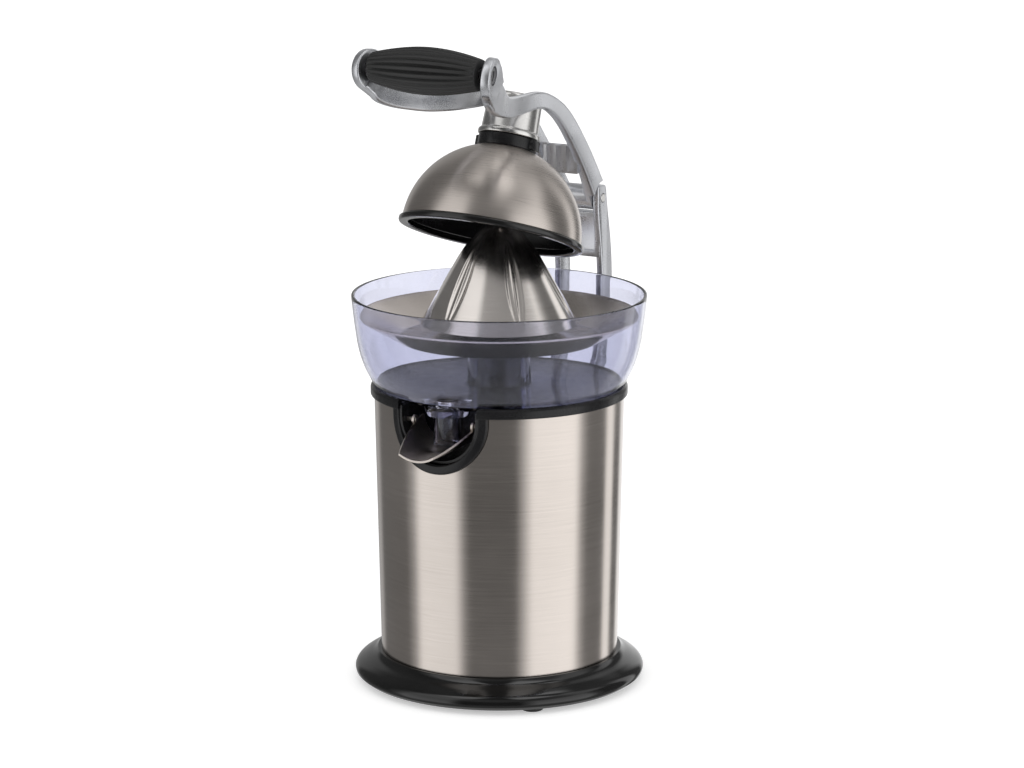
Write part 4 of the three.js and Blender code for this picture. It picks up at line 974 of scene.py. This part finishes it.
make_base()
make_sleeve()
make_trim()
make_deck()
make_gland()
make_spout()
make_bowl()
make_strainer()
make_cone()
make_column()
make_lever()
make_grip()
make_dome()

# ---------------------------------------------------------------- CAD nodes that stay as they are

KEPT = {
    "base_plate": SATIN_BLACK,
    "cone_hub": SATIN_BLACK,
    "micro_switch": SATIN_BLACK,
    "gearbox_case": GREY,
    "gearbox_cover": GREY,
    "cooling_fan": GREY,
    "motor_stator": IRON,
    "motor_armature": BRONZE,
    "lower_bush": BRONZE,
    "upper_bush": BRONZE,
    "shaft_seal": RUBBER,
    "output_gear": NYLON,
    "idler_gear": NYLON,
    "thrust_collar": NYLON,
    "switch_plunger": NYLON,
}
for name, cad in nodes.items():
    if not cad.hide_render:
        cad.data.materials.clear()
        cad.data.materials.append(KEPT.get(name, STEEL))

# ---------------------------------------------------------------- floor, light and camera

WHITE, BLACK = (1, 1, 1, 1), (0, 0, 0, 1)
FLOOR_RADIUS, FLOOR_TONE, FLOOR_ROUGHNESS, FLOOR_GLOW = 9, (0.9, 0.9, 0.9, 1), 0.9, 0.45


def make_floor():
    bm = bmesh.new()
    bmesh.ops.create_circle(bm, cap_ends=True, radius=FLOOR_RADIUS, segments=96)
    mesh = bpy.data.meshes.new("floor")
    bm.to_mesh(mesh)
    bm.free()
    floor = bpy.data.objects.new("floor", mesh)
    bpy.context.scene.collection.objects.link(floor)
    material = bpy.data.materials.new("floor_white")
    material.use_nodes = True
    shader = material.node_tree.nodes["Principled BSDF"]
    shader.inputs["Base Color"].default_value = FLOOR_TONE
    shader.inputs["Roughness"].default_value = FLOOR_ROUGHNESS
    shader.inputs["Emission Color"].default_value = WHITE
    shader.inputs["Emission Strength"].default_value = FLOOR_GLOW
    mesh.materials.append(material)
    floor.visible_glossy = False


# How bright the metal mirrors the studio's walls, by degrees to the right of the front camera.
WALLS = [
    (-180, 0.30),
    (-152, 0.30),
    (-144, 0.08),
    (-98, 0.08),
    (-88, 0.30),
    (-80, 0.85),
    (-42, 0.80),
    (-34, 0.20),
    (-28, 0.05),
    (16, 0.05),
    (24, 0.45),
    (32, 0.95),
    (76, 1.0),
    (84, 0.30),
    (92, 0.10),
    (116, 0.10),
    (121, 0.85),
    (131, 0.85),
    (136, 0.10),
    (148, 0.10),
    (156, 0.75),
    (172, 0.75),
    (180, 0.30),
]
# The same for the upper windows, which the dome mirrors.
WINDOWS = [
    (-180, 0.30),
    (-144, 0.10),
    (-98, 0.08),
    (-88, 0.40),
    (-80, 1.0),
    (-46, 1.0),
    (-34, 0.35),
    (40, 0.22),
    (70, 0.40),
    (84, 0.85),
    (104, 0.85),
    (114, 0.25),
    (140, 0.15),
    (150, 0.75),
    (165, 0.30),
    (180, 0.30),
]
# By height, from straight down (0) over the horizon (0.5) to straight up (1):
# how far the windows take the walls' place, how much of the walls shows, and the even light.
UPPER_SHARE = [(0.76, 0.0), (0.84, 1.0), (0.93, 1.0), (0.955, 0.0)]
WALL_SHARE = [
    (0.18, 0.0),
    (0.32, 0.7),
    (0.55, 0.7),
    (0.75, 0.50),
    (0.92, 0.46),
    (0.965, 1.0),
    (0.99, 1.0),
    (1.0, 0.07),
]
EVEN_LIGHT = [(0.0, 0.35), (0.34, 0.035), (0.55, 0.014), (0.78, 0.04), (0.99, 0.03), (1.0, 0.08)]
MIRRORED_STRENGTH = 1.79
PLAIN_STRENGTH = 0.85
CAMERA_SIDE = math.radians(-60)
CAMERA_PLACE = (1.1068, -1.9088, 0.667)
CAMERA_TURN = 30
CAMERA_DIP = 12.33
CAMERA_LENS, CAMERA_SENSOR, CAMERA_REACH = 128.1, 36, 50


def mix(tree, share, first, second, **settings):
    inputs = {0: share, 6: first, 7: second}
    return node(tree, "Mix", inputs, data_type="RGBA", **settings).outputs[2]


def background(tree, colour, strength):
    return node(tree, "Background", {"Color": colour, "Strength": strength}).outputs[0]


def make_studio():
    """Even white light, but shiny things mirror walls and windows set round the front camera."""
    world = bpy.data.worlds.new("studio")
    bpy.context.scene.world = world
    world.use_nodes = True
    tree = world.node_tree
    tree.nodes.clear()
    direction = node(tree, "TexCoord").outputs["Generated"]
    turned = node(
        tree, "VectorRotate", {"Vector": direction, "Angle": -CAMERA_SIDE}, rotation_type="Z_AXIS"
    ).outputs[0]
    x, y, z = node(tree, "SeparateXYZ", {0: turned}).outputs
    angle = maths(tree, "ARCTAN2", y, x)
    share = node(
        tree, "MapRange", {"Value": angle, "From Min": -math.pi, "From Max": math.pi}
    ).outputs[0]
    low, high = (
        ramp(tree, share, [((degrees + 180) / 360, level) for degrees, level in lights])
        for lights in (WALLS, WINDOWS)
    )
    height = node(tree, "MapRange", {"Value": z, "From Min": -1, "From Max": 1}).outputs[0]
    walls = mix(tree, ramp(tree, height, UPPER_SHARE), low, high)
    mirrored = mix(tree, ramp(tree, height, WALL_SHARE), BLACK, walls)
    total = mix(tree, 1.0, mirrored, ramp(tree, height, EVEN_LIGHT), blend_type="ADD")
    glossy = node(tree, "LightPath").outputs["Is Glossy Ray"]
    plain_light = background(tree, WHITE, PLAIN_STRENGTH)
    walls_light = background(tree, total, MIRRORED_STRENGTH)
    chosen = node(tree, "MixShader", {0: glossy, 1: plain_light, 2: walls_light}).outputs[0]
    node(tree, "OutputWorld", {"Surface": chosen})


def make_camera():
    data = bpy.data.cameras.new("camera")
    data.lens = CAMERA_LENS
    data.sensor_width = CAMERA_SENSOR
    data.clip_end = CAMERA_REACH
    camera = bpy.data.objects.new("camera", data)
    bpy.context.scene.collection.objects.link(camera)
    aim = turn(CAMERA_TURN, "Z") @ turn(90 - CAMERA_DIP, "X")
    camera.matrix_world = shift(*CAMERA_PLACE) @ aim
    bpy.context.scene.camera = camera


make_floor()
make_studio()
make_camera()
bpy.context.scene.view_settings.view_transform = "Standard"
